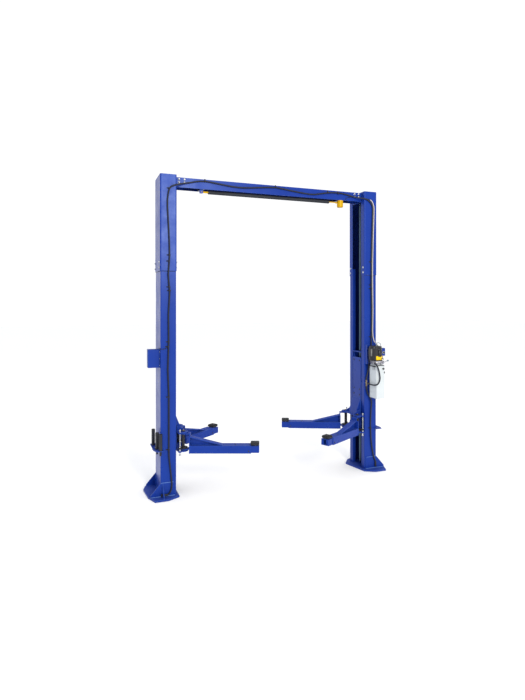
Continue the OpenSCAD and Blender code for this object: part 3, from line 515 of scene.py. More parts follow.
def close_tube(bm, rings):
    sides = len(rings[0])
    for low, high in zip(rings, rings[1:]):
        for k in range(sides):
            j = (k + 1) % sides
            bm.faces.new((low[k], low[j], high[j], high[k]))
    bm.faces.new(list(reversed(rings[0])))
    bm.faces.new(rings[-1])


WELD_STEP, WELD_SIDES = 0.0045, 6
THIN_BEAD, SMALL_BEAD, THICK_BEAD = 0.0030, 0.0035, 0.0065


# Rippled bead from start to end, as a hand weld leaves it
def weld_line(bm, start, end, radius=0.0042):
    start, end = Vector(start), Vector(end)
    turn = frame_along((end - start).normalized()).to_3x3()
    count = max(2, int((end - start).length / WELD_STEP))
    rings = []
    for i in range(count + 1):
        swell = radius * (1.0 + 0.20 * math.cos(i * math.pi) + random.uniform(-0.08, 0.08))
        centre = start.lerp(end, i / count)
        rings.append([bm.verts.new(centre + turn @ circle_point(swell, k, WELD_SIDES))
                      for k in range(WELD_SIDES)])
    close_tube(bm, rings)


# Smooth curve through the points, with steps between neighbours
def smooth_route(points, steps=6):
    points = [Vector(p) for p in points]
    route = []
    for i in range(len(points) - 1):
        a, b = points[max(i - 1, 0)], points[i]
        c, d = points[i + 1], points[min(i + 2, len(points) - 1)]
        for k in range(steps):
            t = k / steps
            route.append(0.5 * (2 * b + (c - a) * t + (2 * a - 5 * b + 4 * c - d) * t * t
                                + (3 * b - a - 3 * c + d) * t ** 3))
    return route + [points[-1]]


def swept_tube(bm, route, radius, sides=16):
    rings = []
    normal = Vector(RIGHT)
    for i, point in enumerate(route):
        along = (route[min(i + 1, len(route) - 1)] - route[max(i - 1, 0)]).normalized()
        normal = (normal - along * normal.dot(along)).normalized()
        across = along.cross(normal)
        rings.append([
            bm.verts.new(point + radius * (math.cos(math.tau * k / sides) * normal
                                           + math.sin(math.tau * k / sides) * across))
            for k in range(sides)
        ])
    close_tube(bm, rings)


# The loop hose hangs free between the valve block and the tee
LOOP_ROUTE = [
    (1.388, -0.418, 1.548), (1.388, -0.426, 1.548), (1.388, -0.434, 1.548),
    (1.390, -0.456, 1.534), (1.401, -0.469, 1.502), (1.418, -0.472, 1.450),
    (1.430, -0.471, 1.395), (1.434, -0.470, 1.345), (1.424, -0.469, 1.303),
    (1.402, -0.467, 1.272), (1.376, -0.456, 1.259), (1.360, -0.428, 1.255),
    (1.356, -0.380, 1.253), (1.361, -0.325, 1.253), (1.368, -0.292, 1.254),
    (1.368, -0.277, 1.254), (1.368, -0.262, 1.254),
]
HOSE_R = 0.010
HOSE_GAP = 0.0015

loop_route = smooth_route(LOOP_ROUTE)
loop_hose = piece("loop_hose_dressed", lambda bm: swept_tube(bm, loop_route, HOSE_R), HOSE)
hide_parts("loop_hose")


# Bolts on the frame, each with the radius of its head and of its washer
def beam_bolts(bm):
    for side in SIDES.values():
        for back in (0.1065, 0.0365):
            x = side * (beam_high.x - back)
            for down in (0.062, 0.021):
                z = beam_high.z - down
                bolt(bm, (x, BEAM_FRONT, z), FRONT, 0.0115, 0.0145)
                bolt(bm, (x, beam_high.y, z), REAR, 0.0115, 0.0145)


def sleeve_bolts(bm):
    for side in SIDES.values():
        for z in (SLEEVE_Z + 0.040, SLEEVE_Z + 0.110):
            for y in (-0.170, 0.190):
                bolt(bm, (side * SLEEVE_OUT, y, z), (side, 0, 0), 0.011, 0.014)
            for y in (-0.178, 0.178):
                bolt(bm, (side * SLEEVE_IN, y, z), (-side, 0, 0), 0.011, 0.014)


piece("beam_bolts", beam_bolts, ZINC)
piece("sleeve_bolts", sleeve_bolts, ZINC)

# Half the width of the mouth, and where a lip stands on the base plate
MOUTH_HALF = 0.122
LIP_START, LIP_END = 0.128, 0.200


# Weld beads where the plates of the frame meet, in the paler weld paint that is a painted
# highlight
def frame_welds(bm):
    plate_low = cad_high.z - 0.140
    fin_x, fin_half_t = COLUMN_OUT - 0.027, 0.0055
    for side in SIDES.values():
        x = side * COLUMN_OUT
        lip_x = side * (COLUMN_IN + 0.0065)
        for end in ENDS:
            y = end * (HALF_DEPTH - 0.0005)
            weld_line(bm, (x, y, BASE_TOP + 0.010), (x, y, base_high.z))
            weld_line(bm, (lip_x, end * LIP_START, BASE_TOP), (lip_x, end * LIP_END, BASE_TOP),
                      THIN_BEAD)
        weld_line(bm, (x, -0.190, BASE_TOP), (x, 0.190, BASE_TOP))
        # The left fin stands in front and the right one behind, so side is also the fin's end
        for x in (side * (fin_x - fin_half_t), side * (fin_x + fin_half_t)):
            root, tip = side * (GUSSET_Y + 0.002), side * (base_high.y - 0.008)
            weld_line(bm, (x, root, BASE_TOP), (x, tip, BASE_TOP), THIN_BEAD)
            wall = side * (GUSSET_Y + 0.0005)
            weld_line(bm, (x, wall, BASE_TOP + 0.042), (x, wall, base_high.z - 0.014), THIN_BEAD)
        x = side * SLEEVE_IN
        reach = MOUTH_HALF - 0.001
        weld_line(bm, (x, -reach, plate_low), (x, reach, plate_low), THIN_BEAD)
        for y in (-MOUTH_HALF, MOUTH_HALF):
            weld_line(bm, (x, y, plate_low), (x, y, cad_high.z - 0.002), THIN_BEAD)


# The thick beads of the foot, in a still paler paint that is a painted highlight
def foot_welds(bm):
    for side in SIDES.values():
        for end in ENDS:
            y, z = end * GUSSET_Y, BASE_TOP + 0.001
            weld_line(bm, (side * (COLUMN_IN + 0.016), y, z), (side * (COLUMN_OUT + 0.120), y, z),
                      THICK_BEAD)
            y, z = end * (HALF_DEPTH + 0.002), base_high.z
            weld_line(bm, (side * (COLUMN_IN + 0.034), y, z), (side * (COLUMN_OUT - 0.004), y, z),
                      THICK_BEAD)


# Dark strip right under each sleeve: a painted shadow of the sleeve's lower edge
def sleeve_painted_shadows(bm):
    low, high, proud = SLEEVE_Z - 0.006, SLEEVE_Z + 0.001, 0.003
    for side in SIDES.values():
        for end in ENDS:
            mirrored_block(bm, side, end, (COLUMN_IN + 0.012, HALF_DEPTH, low),
                           (COLUMN_OUT - 0.010, HALF_DEPTH + proud, high))
        mirrored_block(bm, side, 1, (COLUMN_OUT, -0.190, low), (COLUMN_OUT + proud, 0.190, high))


piece("frame_welds", frame_welds, WELD_PAINTED_HIGHLIGHT)
piece("foot_welds", foot_welds, FOOT_WELD_HIGHLIGHT)
piece("sleeve_painted_shadows", sleeve_painted_shadows, BLACK_PLASTIC)

# Clips that hold the hoses, as x and z on the front of a column or of the beam
LEFT_CLIPS = [(-1.439, 3.823), (-1.439, 2.996), (-1.446, 2.921), (-1.441, 2.601), (-1.434, 2.555),
              (-1.448, 1.922), (-1.455, 1.864), (-1.448, 1.241), (-1.448, 0.590)]
RIGHT_CLIPS = [(1.456, 2.988), (1.456, 2.657), (1.456, 2.605), (1.456, 1.912), (1.446, 0.600)]
BEAM_CLIPS = [(-0.970, 3.962), (0.005, 3.962), (0.797, 3.950), (0.960, 3.950)]
HOSE_Y = SLEEVE_FRONT - HOSE_R - HOSE_GAP
CLIP_REACH, CLIP_HALF_W, CLIP_T = 0.0112, 0.007, 0.0016
CLIP_SCREW_X = 0.022


def column_face(z):
    return SLEEVE_FRONT if z > SLEEVE_Z else COLUMN_FRONT


# Strap round a hose that stands off its wall, with a long foot on the side of its screw
def strap(bm, place, along, stand_off):
    along = Vector(along).normalized()
    out = Vector(FRONT)
    across = out.cross(along)
    arc = [(CLIP_REACH * math.cos(turn), stand_off + CLIP_REACH * math.sin(turn))
           for turn in [math.radians(a) for a in range(-20, 201, 20)]]
    inner = [(0.030, 0.0), (0.013, 0.0)] + arc + [(-0.0108, 0.0)]
    outer = [(a * 1.11, b + CLIP_T if b > 0.002 else 0.0018) for a, b in inner]
    slab(bm, inner + list(reversed(outer)), Vector(place) - along * CLIP_HALF_W, across, out,
         2 * CLIP_HALF_W)


def hose_clips(bm):
    for x, z in LEFT_CLIPS + RIGHT_CLIPS:
        strap(bm, (x, column_face(z), z), UP, column_face(z) - HOSE_Y)
    for x, z in BEAM_CLIPS:
        strap(bm, (x, BEAM_FRONT, z), RIGHT, HOSE_R + HOSE_GAP)


def clip_screws(bm):
    for x, z in LEFT_CLIPS + RIGHT_CLIPS:
        screw(bm, (x - CLIP_SCREW_X, column_face(z) - 0.0018, z), FRONT, 0.0055)


piece("hose_clips", hose_clips, BLACK_PLASTIC)
piece("clip_screws", clip_screws, BLACK_STEEL)

# Where the hoses meet the tee and the elbows of the two feet
TEE = Vector(((tee_low.x + tee_high.x) / 2, tee_low.y + 0.030, (tee_low.z + tee_high.z) / 2))
TEE_HALF = 0.043
RIGHT_ENTRY = Vector((1.520, -0.230, 0.086))
LEFT_ENTRY = Vector((-1.486, -0.232, 0.042))


# Crimped ferrule at the end of a hose
def ferrule(bm, place, axis, length):
    turned(bm, place, axis, [(0, 0), (0.0125, 0), (0.0128, 0.002), (0.0128, length * 0.4),
                             (0.0118, length * 0.45), (0.0122, length * 0.5),
                             (0.0122, length - 0.002), (0.0112, length), (0, length)], 20)


def hose_ends(bm):
    ferrule(bm, TEE + Vector(UP) * TEE_HALF, UP, 0.040)
    ferrule(bm, TEE + Vector(DOWN) * TEE_HALF, DOWN, 0.040)
    ferrule(bm, TEE + Vector(FRONT) * 0.029, FRONT, 0.036)
    ferrule(bm, Vector(LOOP_ROUTE[0]) + Vector(REAR) * 0.004, FRONT, 0.024)
    ferrule(bm, RIGHT_ENTRY, UP, 0.026)
    ferrule(bm, LEFT_ENTRY, RIGHT, 0.026)


piece("hose_ends", hose_ends, BLACK_STEEL)

# Thin cables: from the limit switch to the conduit, and at the left lock cover
WIRE_R = 0.0032
WIRE_ROUTES = [
    [(1.040, -0.100, 3.858), (1.075, -0.128, 3.868), (1.110, -0.1375, 3.900),
     (1.180, -0.1375, 3.918), (1.250, -0.150, 3.915), (1.318, -0.190, 3.902),
     (1.372, -0.2145, 3.893), (1.436, -0.2185, 3.880)],
    [(-1.457, -0.2135, 1.855), (-1.480, -0.2120, 1.842), (-1.518, -0.2100, 1.832),
     (-1.545, -0.2085, 1.834), (-1.556, -0.195, 1.842), (-1.557, -0.165, 1.838),
     (-1.570, -0.135, 1.832), (-1.600, -0.110, 1.823)],
]


def wires(bm):
    for route in WIRE_ROUTES:
        swept_tube(bm, smooth_route(route), WIRE_R, 8)


piece("wires", wires, HOSE)


# Bolts in the flanges of the lock covers and of the adapter racks
def cover_bolts(bm):
    for side in SIDES.values():
        for y in (cover_high.y - 0.009, cover_low.y + 0.009):
            for z in (cover_low.z + 0.030, (cover_low.z + cover_high.z) / 2, cover_high.z - 0.030):
                bolt(bm, (side * (COLUMN_OUT + 0.003), side * y, z), (side, 0, 0), 0.0055, 0.0075)
        for y in (-0.150, -0.040, 0.080):
            bolt(bm, (side * (COLUMN_OUT + 0.006), y, rack_low.z + 0.017), (side, 0, 0), 0.0075,
                 0.0105)


# Raised panel on the outer face of each lock cover
def cover_details(bm):
    border_y, border_z, proud = 0.024, 0.006, 0.0015
    for side in SIDES.values():
        mirrored_block(bm, side, side,
                       (cover_high.x, cover_low.y + border_y, cover_low.z + border_z),
                       (cover_high.x + proud, cover_high.y - border_y, cover_high.z - border_z))


piece("cover_bolts", cover_bolts, ZINC)
piece("cover_details", cover_details, BLUE)

# Height adapters in the left rack: how far out of the column, and y
ADAPTERS = ((0.053, 0.050), (0.033, -0.145), (0.004, -0.235))
ADAPTER_RINGS_Z = (0.600, 0.622, 0.760, 0.782)


def adapter_rings(bm):
    for out, y in ADAPTERS:
        for z in ADAPTER_RINGS_Z:
            band(bm, (-COLUMN_OUT - out, y, z), UP, 0.0215, 0.0228, 0.0015, 0.008, 36)


piece("adapter_rings", adapter_rings, BLACK_STEEL)

# Motor of the power unit, by the foot of its axis. Turns are degrees from the front towards
# the switch box, and COVERED are those where a lid or a box hides the ribs
MOTOR = Vector((COLUMN_MID + 0.005, COLUMN_FRONT - 0.122, motor_low.z))
MOTOR_R, MOTOR_H = 0.092, 0.200
COVERED = ((-1, 14), (72, 104), (250, 300), (346, 360))
LID_LEFT, LID_RIGHT = MOTOR.x - 0.014, MOTOR.x + 0.034
LID_LOW, LID_TOP = MOTOR.z + 0.060, MOTOR.z + 0.170
LID_FACE = motor_low.y - 0.003
MOTOR_GLAND = Vector((MOTOR.x + 0.010, motor_low.y + 0.018, MOTOR.z + 0.063))


def barrel_out(turn):
    angle = math.radians(turn)
    return Vector((math.sin(angle), -math.cos(angle), 0))


def barrel_point(turn, radius, z):
    return MOTOR + barrel_out(turn) * radius + Vector(UP) * z


def motor_ribs(bm):
    rib = [(-0.0013, 0), (0.0013, 0), (0.0009, 0.0055), (-0.0009, 0.0055)]
    for turn in range(0, 360, 8):
        if any(start < turn < stop for start, stop in COVERED):
            continue
        out = barrel_out(turn)
        foot = barrel_point(turn, MOTOR_R - 0.002, 0.022)
        slab(bm, rib, foot, Vector(UP).cross(out), out, 0.150)


# Rings and spokes of the fan's grille on the top of the motor
def fan_cover(bm):
    top = MOTOR + Vector(UP) * (MOTOR_H - 0.001)
    for radius in (0.036, 0.052, 0.068):
        turned(bm, top, UP,
               [(radius, 0), (radius, 0.0030), (radius + 0.004, 0.0030), (radius + 0.004, 0)], 48)
    spoke = [(-0.003, 0.020), (0.003, 0.020), (0.003, 0.080), (-0.003, 0.080)]
    for turn in range(0, 360, 45):
        out = barrel_out(turn)
        slab(bm, spoke, top, out.cross(Vector(UP)), out, -0.0032)


# Cable gland that hangs under a lid
def gland(bm, place, radius, length):
    stud(bm, place, DOWN, radius, 0.010, radius - 0.002, length, 12)


def motor_lids(bm):
    block(bm, (LID_LEFT, LID_FACE, LID_LOW), (LID_RIGHT, motor_low.y + 0.001, LID_TOP))
    gland(bm, MOTOR_GLAND, 0.009, 0.016)


def motor_screws(bm):
    for x in (LID_LEFT + 0.005, LID_RIGHT - 0.005):
        for z in (LID_LOW + 0.006, LID_TOP - 0.006):
            screw(bm, (x, LID_FACE, z), FRONT, 0.0032)
    for turn in (45, 135, 225, 315):
        screw(bm, barrel_point(turn, MOTOR_R - 0.001, 0.183), barrel_out(turn), 0.004)
        bolt(bm, barrel_point(turn, MOTOR_R - 0.018, -0.001), DOWN, 0.006, 0.008)


def yellow_patch(bm):
    inner, outer = MOTOR_R - 0.001, MOTOR_R + 0.0042
    low, high = 0.013, 0.069
    corners = ((inner, low), (outer, low), (outer, high), (inner, high))
    close_tube(bm, [[bm.verts.new(barrel_point(turn, radius, z)) for radius, z in corners]
                    for turn in range(-27, 64, 6)])


# Pale lid on the capacitor box at the left of the barrel
def capacitor_lid(bm):
    block(bm, MOTOR + Vector((-0.101, -0.0435, 0.066)), MOTOR + Vector((-0.066, -0.0395, 0.166)))


def lifting_ring(bm):
    ring_r, wire_r, steps = 0.033, 0.0035, 10
    wire = [circle_point(wire_r, k, steps) for k in range(steps + 1)]
    turned(bm, MOTOR + Vector((0.046, -0.006, MOTOR_H + 0.016)), (-0.42, -0.91, 0),
           [(ring_r + point.x, point.y) for point in wire], 40)


# Switch box beside the motor
KNOB = Vector(((box_low.x + box_high.x) / 2 + 0.003, box_low.y, box_low.z + 0.046))
SWITCH_GLAND = Vector((box_high.x - 0.026, box_low.y + 0.030, box_low.z))


def switch_knob(bm):
    turned(bm, KNOB, FRONT, [(0, 0), (0.0150, 0), (0.0150, 0.003), (0.0125, 0.004),
                             (0.0120, 0.016), (0.0105, 0.018), (0, 0.018)], 28)
    gland(bm, SWITCH_GLAND, 0.010, 0.015)


def switch_trim(bm):
    for x in (box_high.x - 0.047, box_high.x - 0.005):
        for z in (box_low.z + 0.006, box_high.z - 0.006):
            screw(bm, (x, box_low.y, z), FRONT, 0.003)
    turned(bm, KNOB, FRONT, [(0.015, 0), (0.0195, 0), (0.0195, 0.0018), (0.015, 0.0018)], 28)


# The cable goes from the gland of the switch box to the gland of the motor
def switch_cable(bm):
    route = [
        SWITCH_GLAND + Vector((0, 0, -0.012)),
        SWITCH_GLAND + Vector((-0.001, -0.010, -0.036)),
        SWITCH_GLAND + Vector((-0.019, -0.050, -0.052)),
        SWITCH_GLAND + Vector((-0.049, -0.092, -0.030)),
        MOTOR_GLAND + Vector((0.026, -0.004, -0.030)),
        MOTOR_GLAND + Vector((0, 0, -0.013)),
    ]
    swept_tube(bm, smooth_route(route), 0.0036, 10)


piece("motor_ribs", motor_ribs, DARK)
piece("fan_cover", fan_cover, DARK)
piece("motor_lids", motor_lids, BLACK_PLASTIC)
piece("motor_screws", motor_screws, ZINC)
piece("yellow_patch", yellow_patch, PATCH)
piece("capacitor_lid", capacitor_lid, GREY)
piece("lifting_ring", lifting_ring, DULL_STEEL)
piece("switch_knob", switch_knob, BLACK_PLASTIC)
piece("switch_trim", switch_trim, ZINC)
piece("switch_cable", switch_cable, HOSE)

# Valve block: plugs on its front and right faces, and the release lever
VALVE_FRONT = tank_high.y - 0.165
VALVE_Z = tank_high.z + 0.022
LEVER_LEAN = math.radians(72)
LEVER_WAY = Vector((math.sin(LEVER_LEAN), 0, math.cos(LEVER_LEAN)))
LEVER_FOOT = Vector((COLUMN_MID + 0.0575, VALVE_FRONT - 0.018, tank_high.z + 0.0225))
LEVER_TIP = LEVER_FOOT + LEVER_WAY * 0.078


def valve_plugs(bm):
    for place, axis in (((TANK_RIGHT - 0.110, VALVE_FRONT, VALVE_Z), FRONT),
                        ((TANK_RIGHT - 0.073, VALVE_FRONT, VALVE_Z + 0.007), FRONT),
                        ((TANK_RIGHT, VALVE_FRONT + 0.060, VALVE_Z), RIGHT),
                        ((TANK_RIGHT, VALVE_FRONT + 0.110, VALVE_Z), RIGHT)):
        stud(bm, place, axis, 0.0105, 0.006, 0.0095, 0.007, 6, 0.3)
        turned(bm, place, axis, [(0.0128, 0), (0.0128, 0.002), (0.0100, 0.002)], 24)
    turned(bm, (TANK_RIGHT - 0.057, VALVE_FRONT, VALVE_Z - 0.009), FRONT,
           [(0, 0), (0.007, 0), (0.007, 0.020), (0.009, 0.020), (0.009, 0.030), (0, 0.030)], 6)


def lever_knob(bm):
    turned(bm, LEVER_TIP - Vector((0.008, 0, 0.003)), LEVER_WAY,
           [(0, 0), (0.006, 0), (0.0095, 0.006), (0.0115, 0.014), (0.0100, 0.022), (0.005, 0.027),
            (0, 0.028)], 24)


# Dark bands under the tank's rim: one along the front and one on each side
def tank_band(bm):
    inset = 0.006
    block(bm, (tank_low.x + inset, tank_high.y - 0.176, tank_high.z - 0.026),
          (TANK_RIGHT - inset, tank_high.y - 0.172, tank_high.z - 0.012))
    for left, right in ((tank_low.x - 0.003, tank_low.x + 0.004),
                        (TANK_RIGHT - 0.004, TANK_RIGHT + 0.003)):
        block(bm, (left, tank_high.y - 0.170, tank_high.z - 0.040),
              (right, tank_high.y - 0.007, tank_high.z - 0.028))


def tank_caps(bm):
    front = Vector((COLUMN_MID + 0.0555, tank_low.y, tank_high.z - 0.062))
    side = Vector((tank_high.x, tank_high.y - 0.120, tank_high.z - 0.118))
    corner = Vector((TANK_RIGHT - 0.006, TANK_FRONT + 0.004, tank_high.z - 0.116))
    for place, axis in ((front, FRONT), (side, RIGHT), (corner, (0.64, -0.77, 0))):
        turned(bm, place - Vector(axis) * 0.002, axis,
               [(0, 0), (0.0138, 0), (0.0138, 0.005), (0.0120, 0.0065), (0.005, 0.0065),
                (0.005, 0.009), (0, 0.009)], 14)


# Moulded panel on the left side, three level ridges on the front, seam and plug underneath
def tank_details(bm):
    left, right, rear, front = tank_low.x, TANK_RIGHT, tank_high.y, TANK_FRONT
    proud, sunk, line = 0.0012, 0.001, 0.002
    panel_low, panel_top = tank_low.z + 0.085, tank_high.z - 0.068
    for z in (panel_low, panel_top - line):
        block(bm, (left - proud, front + 0.030, z), (left + sunk, rear - 0.030, z + line))
    for y in (front + 0.030, rear - 0.032):
        block(bm, (left - proud, y, panel_low), (left + sunk, y + line, panel_top))
    for up in (0.240, 0.270, 0.300):
        z = tank_low.z + up
        block(bm, (right - 0.040, front - proud, z), (right - 0.022, front + sunk, z + 0.003))
    block(bm, (left + 0.016, front + 0.0925, tank_low.z - 0.0015),
          (right - 0.016, front + 0.0945, tank_low.z + 0.0005))
    turned(bm, ((left + right) / 2, front + 0.050, tank_low.z + 0.001), DOWN,
           [(0, 0), (0.016, 0), (0.016, 0.006), (0.011, 0.006), (0.011, 0.012), (0, 0.012)], 24)


piece("valve_plugs", valve_plugs, ZINC)
piece("lever_knob", lever_knob, DULL_STEEL)
piece("tank_band", tank_band, BLACK_PLASTIC)
piece("tank_caps", tank_caps, BLACK_PLASTIC)
piece("tank_details", tank_details, TANK)


def bracket_bolts(bm):
    for x in (COLUMN_IN + 0.040, COLUMN_OUT - 0.040):
        for z in (MOTOR.z + 0.150, MOTOR.z - 0.030):
            bolt(bm, (x, COLUMN_FRONT - 0.006, z), FRONT, 0.009, 0.012)


piece("bracket_bolts", bracket_bolts, ZINC)

# Limit switch: a round case whose right side ends its box
SWITCH_X = switch_high.x - 0.044


def switch_rings(bm):
    for z in (switch_low.z + 0.008, switch_high.z - 0.026):
        band(bm, (SWITCH_X, BAR_Y, z), UP, 0.0435, 0.0455, 0.0012, 0.006, 48)


def switch_screws(bm):
    centre = Vector((SWITCH_X, BAR_Y, switch_low.z))
    for turn in range(30, 360, 60):
        screw(bm, centre + circle_point(0.028, turn, 360), DOWN, 0.0032)


def padding_ends(bm):
    for x, way in ((padding_low.x, -1), (padding_high.x, 1)):
        band(bm, (x - way * 0.020, BAR_Y, BAR_Z), (way, 0, 0), 0.0225, 0.0240, 0.001, 0.014, 36)


piece("switch_rings", switch_rings, YELLOW)
piece("switch_screws", switch_screws, ZINC)
piece("padding_ends", padding_ends, BLACK_PLASTIC, "bar")

# Carriages: weld beads, the rods' springs and the pins' grease nipples
YOKE_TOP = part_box("left_arm_pins")[1].z - 0.011
YOKE_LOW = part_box("left_carriage")[0].z + 0.015
PIVOT_X = joint_of["right_rear_swing"]["pos_m"][0]
PIVOT_Y = joint_of["right_rear_swing"]["pos_m"][1]
FACE_X = COLUMN_IN - 0.004
WEB_Y, WEB_H = 0.100, 0.219
YOKE_EDGE_Y = 0.1225
ROD_X, ROD_Y = PIVOT_X + 0.052, PIVOT_Y + 0.060
SPRING_Z, SPRING_R, SPRING_H, SPRING_TURNS = 0.602, 0.0098, 0.170, 19


def carriage_welds(bm, side):
    def at(x, y, z):
        return (side * x, y, z)
    for y in (-WEB_Y, WEB_Y):
        weld_line(bm, at(FACE_X, y, YOKE_TOP), at(FACE_X, y, YOKE_TOP + WEB_H - 0.001))
        weld_line(bm, at(PIVOT_X + 0.006, y, YOKE_TOP), at(FACE_X, y, YOKE_TOP))
    for x, z in ((FACE_X, YOKE_TOP + WEB_H), (PIVOT_X + 0.002, YOKE_TOP)):
        weld_line(bm, at(x, -WEB_Y, z), at(x, WEB_Y, z))
    for y in (-YOKE_EDGE_Y, YOKE_EDGE_Y):
        weld_line(bm, at(PIVOT_X - 0.030, y, YOKE_TOP), at(COLUMN_IN - 0.022, y, YOKE_TOP),
                  SMALL_BEAD)
    for z in (YOKE_LOW, YOKE_TOP - 0.015):
        weld_line(bm, at(FACE_X, -0.104, z), at(FACE_X, 0.104, z), SMALL_BEAD)


# Coil of a spring along Z
def coil(bm, place, radius, height, turns):
    steps = 14
    route = [Vector(place) + circle_point(radius, k, steps, height * k / (steps * turns))
             for k in range(steps * turns + 1)]
    swept_tube(bm, route, 0.0016, 6)


def rod_springs(bm, side):
    for end in ENDS:
        coil(bm, (side * ROD_X, end * ROD_Y, SPRING_Z), SPRING_R, SPRING_H, SPRING_TURNS)


def nipples(bm, side):
    for end in ENDS:
        turned(bm, (side * PIVOT_X, end * PIVOT_Y, YOKE_TOP + 0.0105), UP,
               [(0, 0), (0.0045, 0), (0.0045, 0.004), (0.0025, 0.005), (0.0032, 0.009),
                (0.002, 0.011), (0, 0.011)], 12)


def post_bolts(bm, side):
    for y in (-0.075, 0.075):
        for z in (1.060, 1.140, 1.560):
            bolt(bm, (side * FACE_X, y, z), (-side, 0, 0), 0.008, 0.011)


for name, side in SIDES.items():
    body = name + "_lifter"
    piece(name + "_carriage_welds", lambda bm: carriage_welds(bm, side), WELD_PAINTED_HIGHLIGHT, body)
    piece(name + "_rod_springs", lambda bm: rod_springs(bm, side), ZINC, body)
    piece(name + "_nipples", lambda bm: nipples(bm, side), BRASS, body)
    piece(name + "_post_bolts", lambda bm: post_bolts(bm, side), BLACK_STEEL, body)

# Arms, each in its own space: x along the arm from the pivot, y across, z up. The shapes are
# the reach of the arm's tube and the side of y on which its stop pin stands
ARM_SHAPES = {"left_front": (0.855, 1), "left_rear": (0.652, -1),
              "right_front": (0.720, -1), "right_rear": (0.855, 1)}
ARM_HALF_W = 0.065
PLATE_X, ROOT_X = 0.082, 0.092
PLATE_TOP = arm_low + 0.200
WEB_END, TOE_START = 0.455, 0.474
BRACE_X, BRACE_HALF_W = 0.492, 0.040
LUG_HALF_W = 0.036
LUG_SEAMS_Z = (0.575, 0.758)
NOSE_LEN, PAD_X = 0.100, 0.048
SKIN_Z = ARM_TOP + 0.001


def arm_space(arm):
    slide = Vector(joint_of[arm + "_reach"]["axis"])
    pivot = Vector(joint_of[arm + "_swing"]["pos_m"])
    pivot.z = 0
    across = Vector(UP).cross(slide)

    def at(x, y, z):
        return pivot + slide * x + across * y + Vector((0, 0, z))
    return at, slide, across


def arm_welds(bm, at):
    for y in (-ARM_HALF_W, ARM_HALF_W):
        weld_line(bm, at(ROOT_X, y, arm_low + 0.002), at(ROOT_X, y, ARM_TOP), SMALL_BEAD)
    weld_line(bm, at(ROOT_X, -0.064, ARM_TOP), at(ROOT_X, 0.064, ARM_TOP), 0.004)
    for y in (-0.0045, 0.0045):
        weld_line(bm, at(ROOT_X + 0.001, y, SKIN_Z), at(WEB_END, y, SKIN_Z), THIN_BEAD)
    for y in (-BRACE_HALF_W, BRACE_HALF_W):
        weld_line(bm, at(TOE_START, y, SKIN_Z), at(BRACE_X + 0.001, y, SKIN_Z), THIN_BEAD)
    x = BRACE_X + 0.0005
    weld_line(bm, at(x, -BRACE_HALF_W, SKIN_Z), at(x, BRACE_HALF_W, SKIN_Z), SMALL_BEAD)
    for y in (-BRACE_HALF_W, BRACE_HALF_W):
        weld_line(bm, at(ROOT_X, y, PLATE_TOP - 0.012), at(ROOT_X, y, PLATE_TOP), THIN_BEAD)
    for z in LUG_SEAMS_Z:
        weld_line(bm, at(PLATE_X, -LUG_HALF_W, z), at(PLATE_X, LUG_HALF_W, z), SMALL_BEAD)


def arm_stops(bm, at, across, reach):
    for sign in ENDS:
        bolt(bm, at(reach - 0.030, sign * ARM_HALF_W, arm_low + 0.030), across * sign, 0.0065,
             0.009)
    bolt(bm, at(reach - 0.200, 0, ARM_TOP), UP, 0.007, 0.010)


def stop_pin(bm, at, outer):
    stud(bm, at(0.070, outer * 0.046, 0.596), UP, 0.006, 0.006, 0.004, 0.008, 12)


def nose_welds(bm, at, reach):
    x = reach + NOSE_LEN + 0.0005
    for sign in ENDS:
        y = sign * 0.0285
        weld_line(bm, at(x, y, arm_low + 0.012), at(x, y, arm_low + 0.082), 0.0025)


# Rubber blocks on the top of a pad, in rows along u and v from its centre
def pad_blocks(bm, centre, u, v):
    half, count, gap = 0.0480, 7, 0.0034
    pitch = 2 * half / count
    size = pitch - gap
    starts = [-half + pitch * i + gap / 2 for i in range(count)]
    for a in starts:
        for b in starts:
            foot = centre + u * a + v * b + Vector((0, 0, pad_top - 0.0005))
            slab(bm, [(0, 0), (size, 0), (size, size), (0, size)], foot, u, v, 0.0015)


# Upright ribs on the edge of a pad that looks along out
def edge_ribs(bm, centre, along, out):
    count, pitch, wide, proud, edge = 9, 0.0105, 0.0056, 0.0016, 0.0528
    outline = [(0, 0), (wide, 0), (wide - 0.0006, proud), (0.0006, proud)]
    height = 0.0135 if along.cross(out).z > 0 else -0.0135
    for i in range(count):
        middle = pitch * (i - (count - 1) / 2)
        foot = centre + out * edge + along * (middle - wide / 2)
        foot.z = STEEL_TOP + 0.001
        slab(bm, outline, foot, along, out, height)


def pad_tread(bm, centre, slide, across):
    pad_blocks(bm, centre, slide, across)
    for along, out in ((slide, across), (across, slide), (slide, -across), (across, -slide)):
        edge_ribs(bm, centre, along, out)


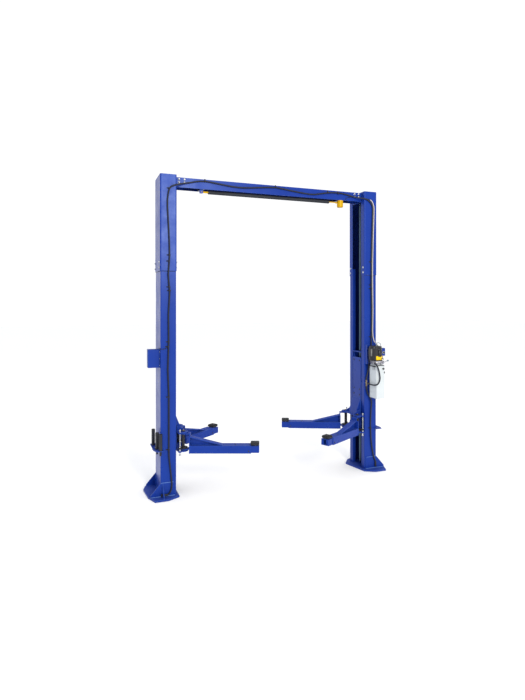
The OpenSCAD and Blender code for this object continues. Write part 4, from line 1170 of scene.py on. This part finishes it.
def dress_arm(arm):
    at, slide, across = arm_space(arm)
    reach, outer = ARM_SHAPES[arm]
    pad_centre = at(reach + PAD_X, 0, 0)
    on_arm = arm + "_arm_body"
    piece(arm + "_welds", lambda bm: arm_welds(bm, at), WELD_PAINTED_HIGHLIGHT, on_arm)
    piece(arm + "_stops", lambda bm: arm_stops(bm, at, across, reach), BLACK_STEEL, on_arm)
    piece(arm + "_stop_pin", lambda bm: stop_pin(bm, at, outer), ZINC, on_arm)
    piece(arm + "_nose_welds", lambda bm: nose_welds(bm, at, reach), WELD_PAINTED_HIGHLIGHT,
          arm + "_extension_body")
    piece(arm + "_tread", lambda bm: pad_tread(bm, pad_centre, slide, across), PAD_RUBBER,
          arm + "_pad_body")


for arm in ARMS:
    dress_arm(arm)


# Floor, lights and world
def studio():
    bpy.context.scene.view_settings.view_transform = "Standard"
    bpy.ops.mesh.primitive_plane_add(size=90, location=(0, 0, -0.0005))
    floor = bpy.context.object
    floor.name = "floor"
    material, tree, shader = new_material("floor", (0.93, 0.935, 0.94), 0.8)
    shader.inputs["Specular IOR Level"].default_value = 0.1
    floor.data.materials.append(material)
    world = bpy.data.worlds.new("studio")
    bpy.context.scene.world = world
    world.use_nodes = True
    sky = world.node_tree.nodes["Background"]
    sky.inputs["Color"].default_value = (0.98, 0.985, 1.0, 1)
    sky.inputs["Strength"].default_value = 1.09
    for name, place, aim, size, power, tone in (
        ("key", (0.1, -9.8, 5.1), (-1.0, 0, 3.2), (1.9, 2.8), 680, (1.0, 0.94, 0.78)),
        ("rim", (6.5, 3.5, 4.5), (0.5, 0, 2.0), (3.0, 4.0), 60, (1.0, 1.0, 1.0)),
    ):
        data = bpy.data.lights.new(name, "AREA")
        data.shape = "RECTANGLE"
        data.size, data.size_y = size
        data.energy = power
        data.color = tone
        lamp = bpy.data.objects.new(name, data)
        lamp.location = place
        lamp.rotation_euler = (Vector(aim) - Vector(place)).to_track_quat("-Z", "Y").to_euler()
        bpy.context.scene.collection.objects.link(lamp)


studio()
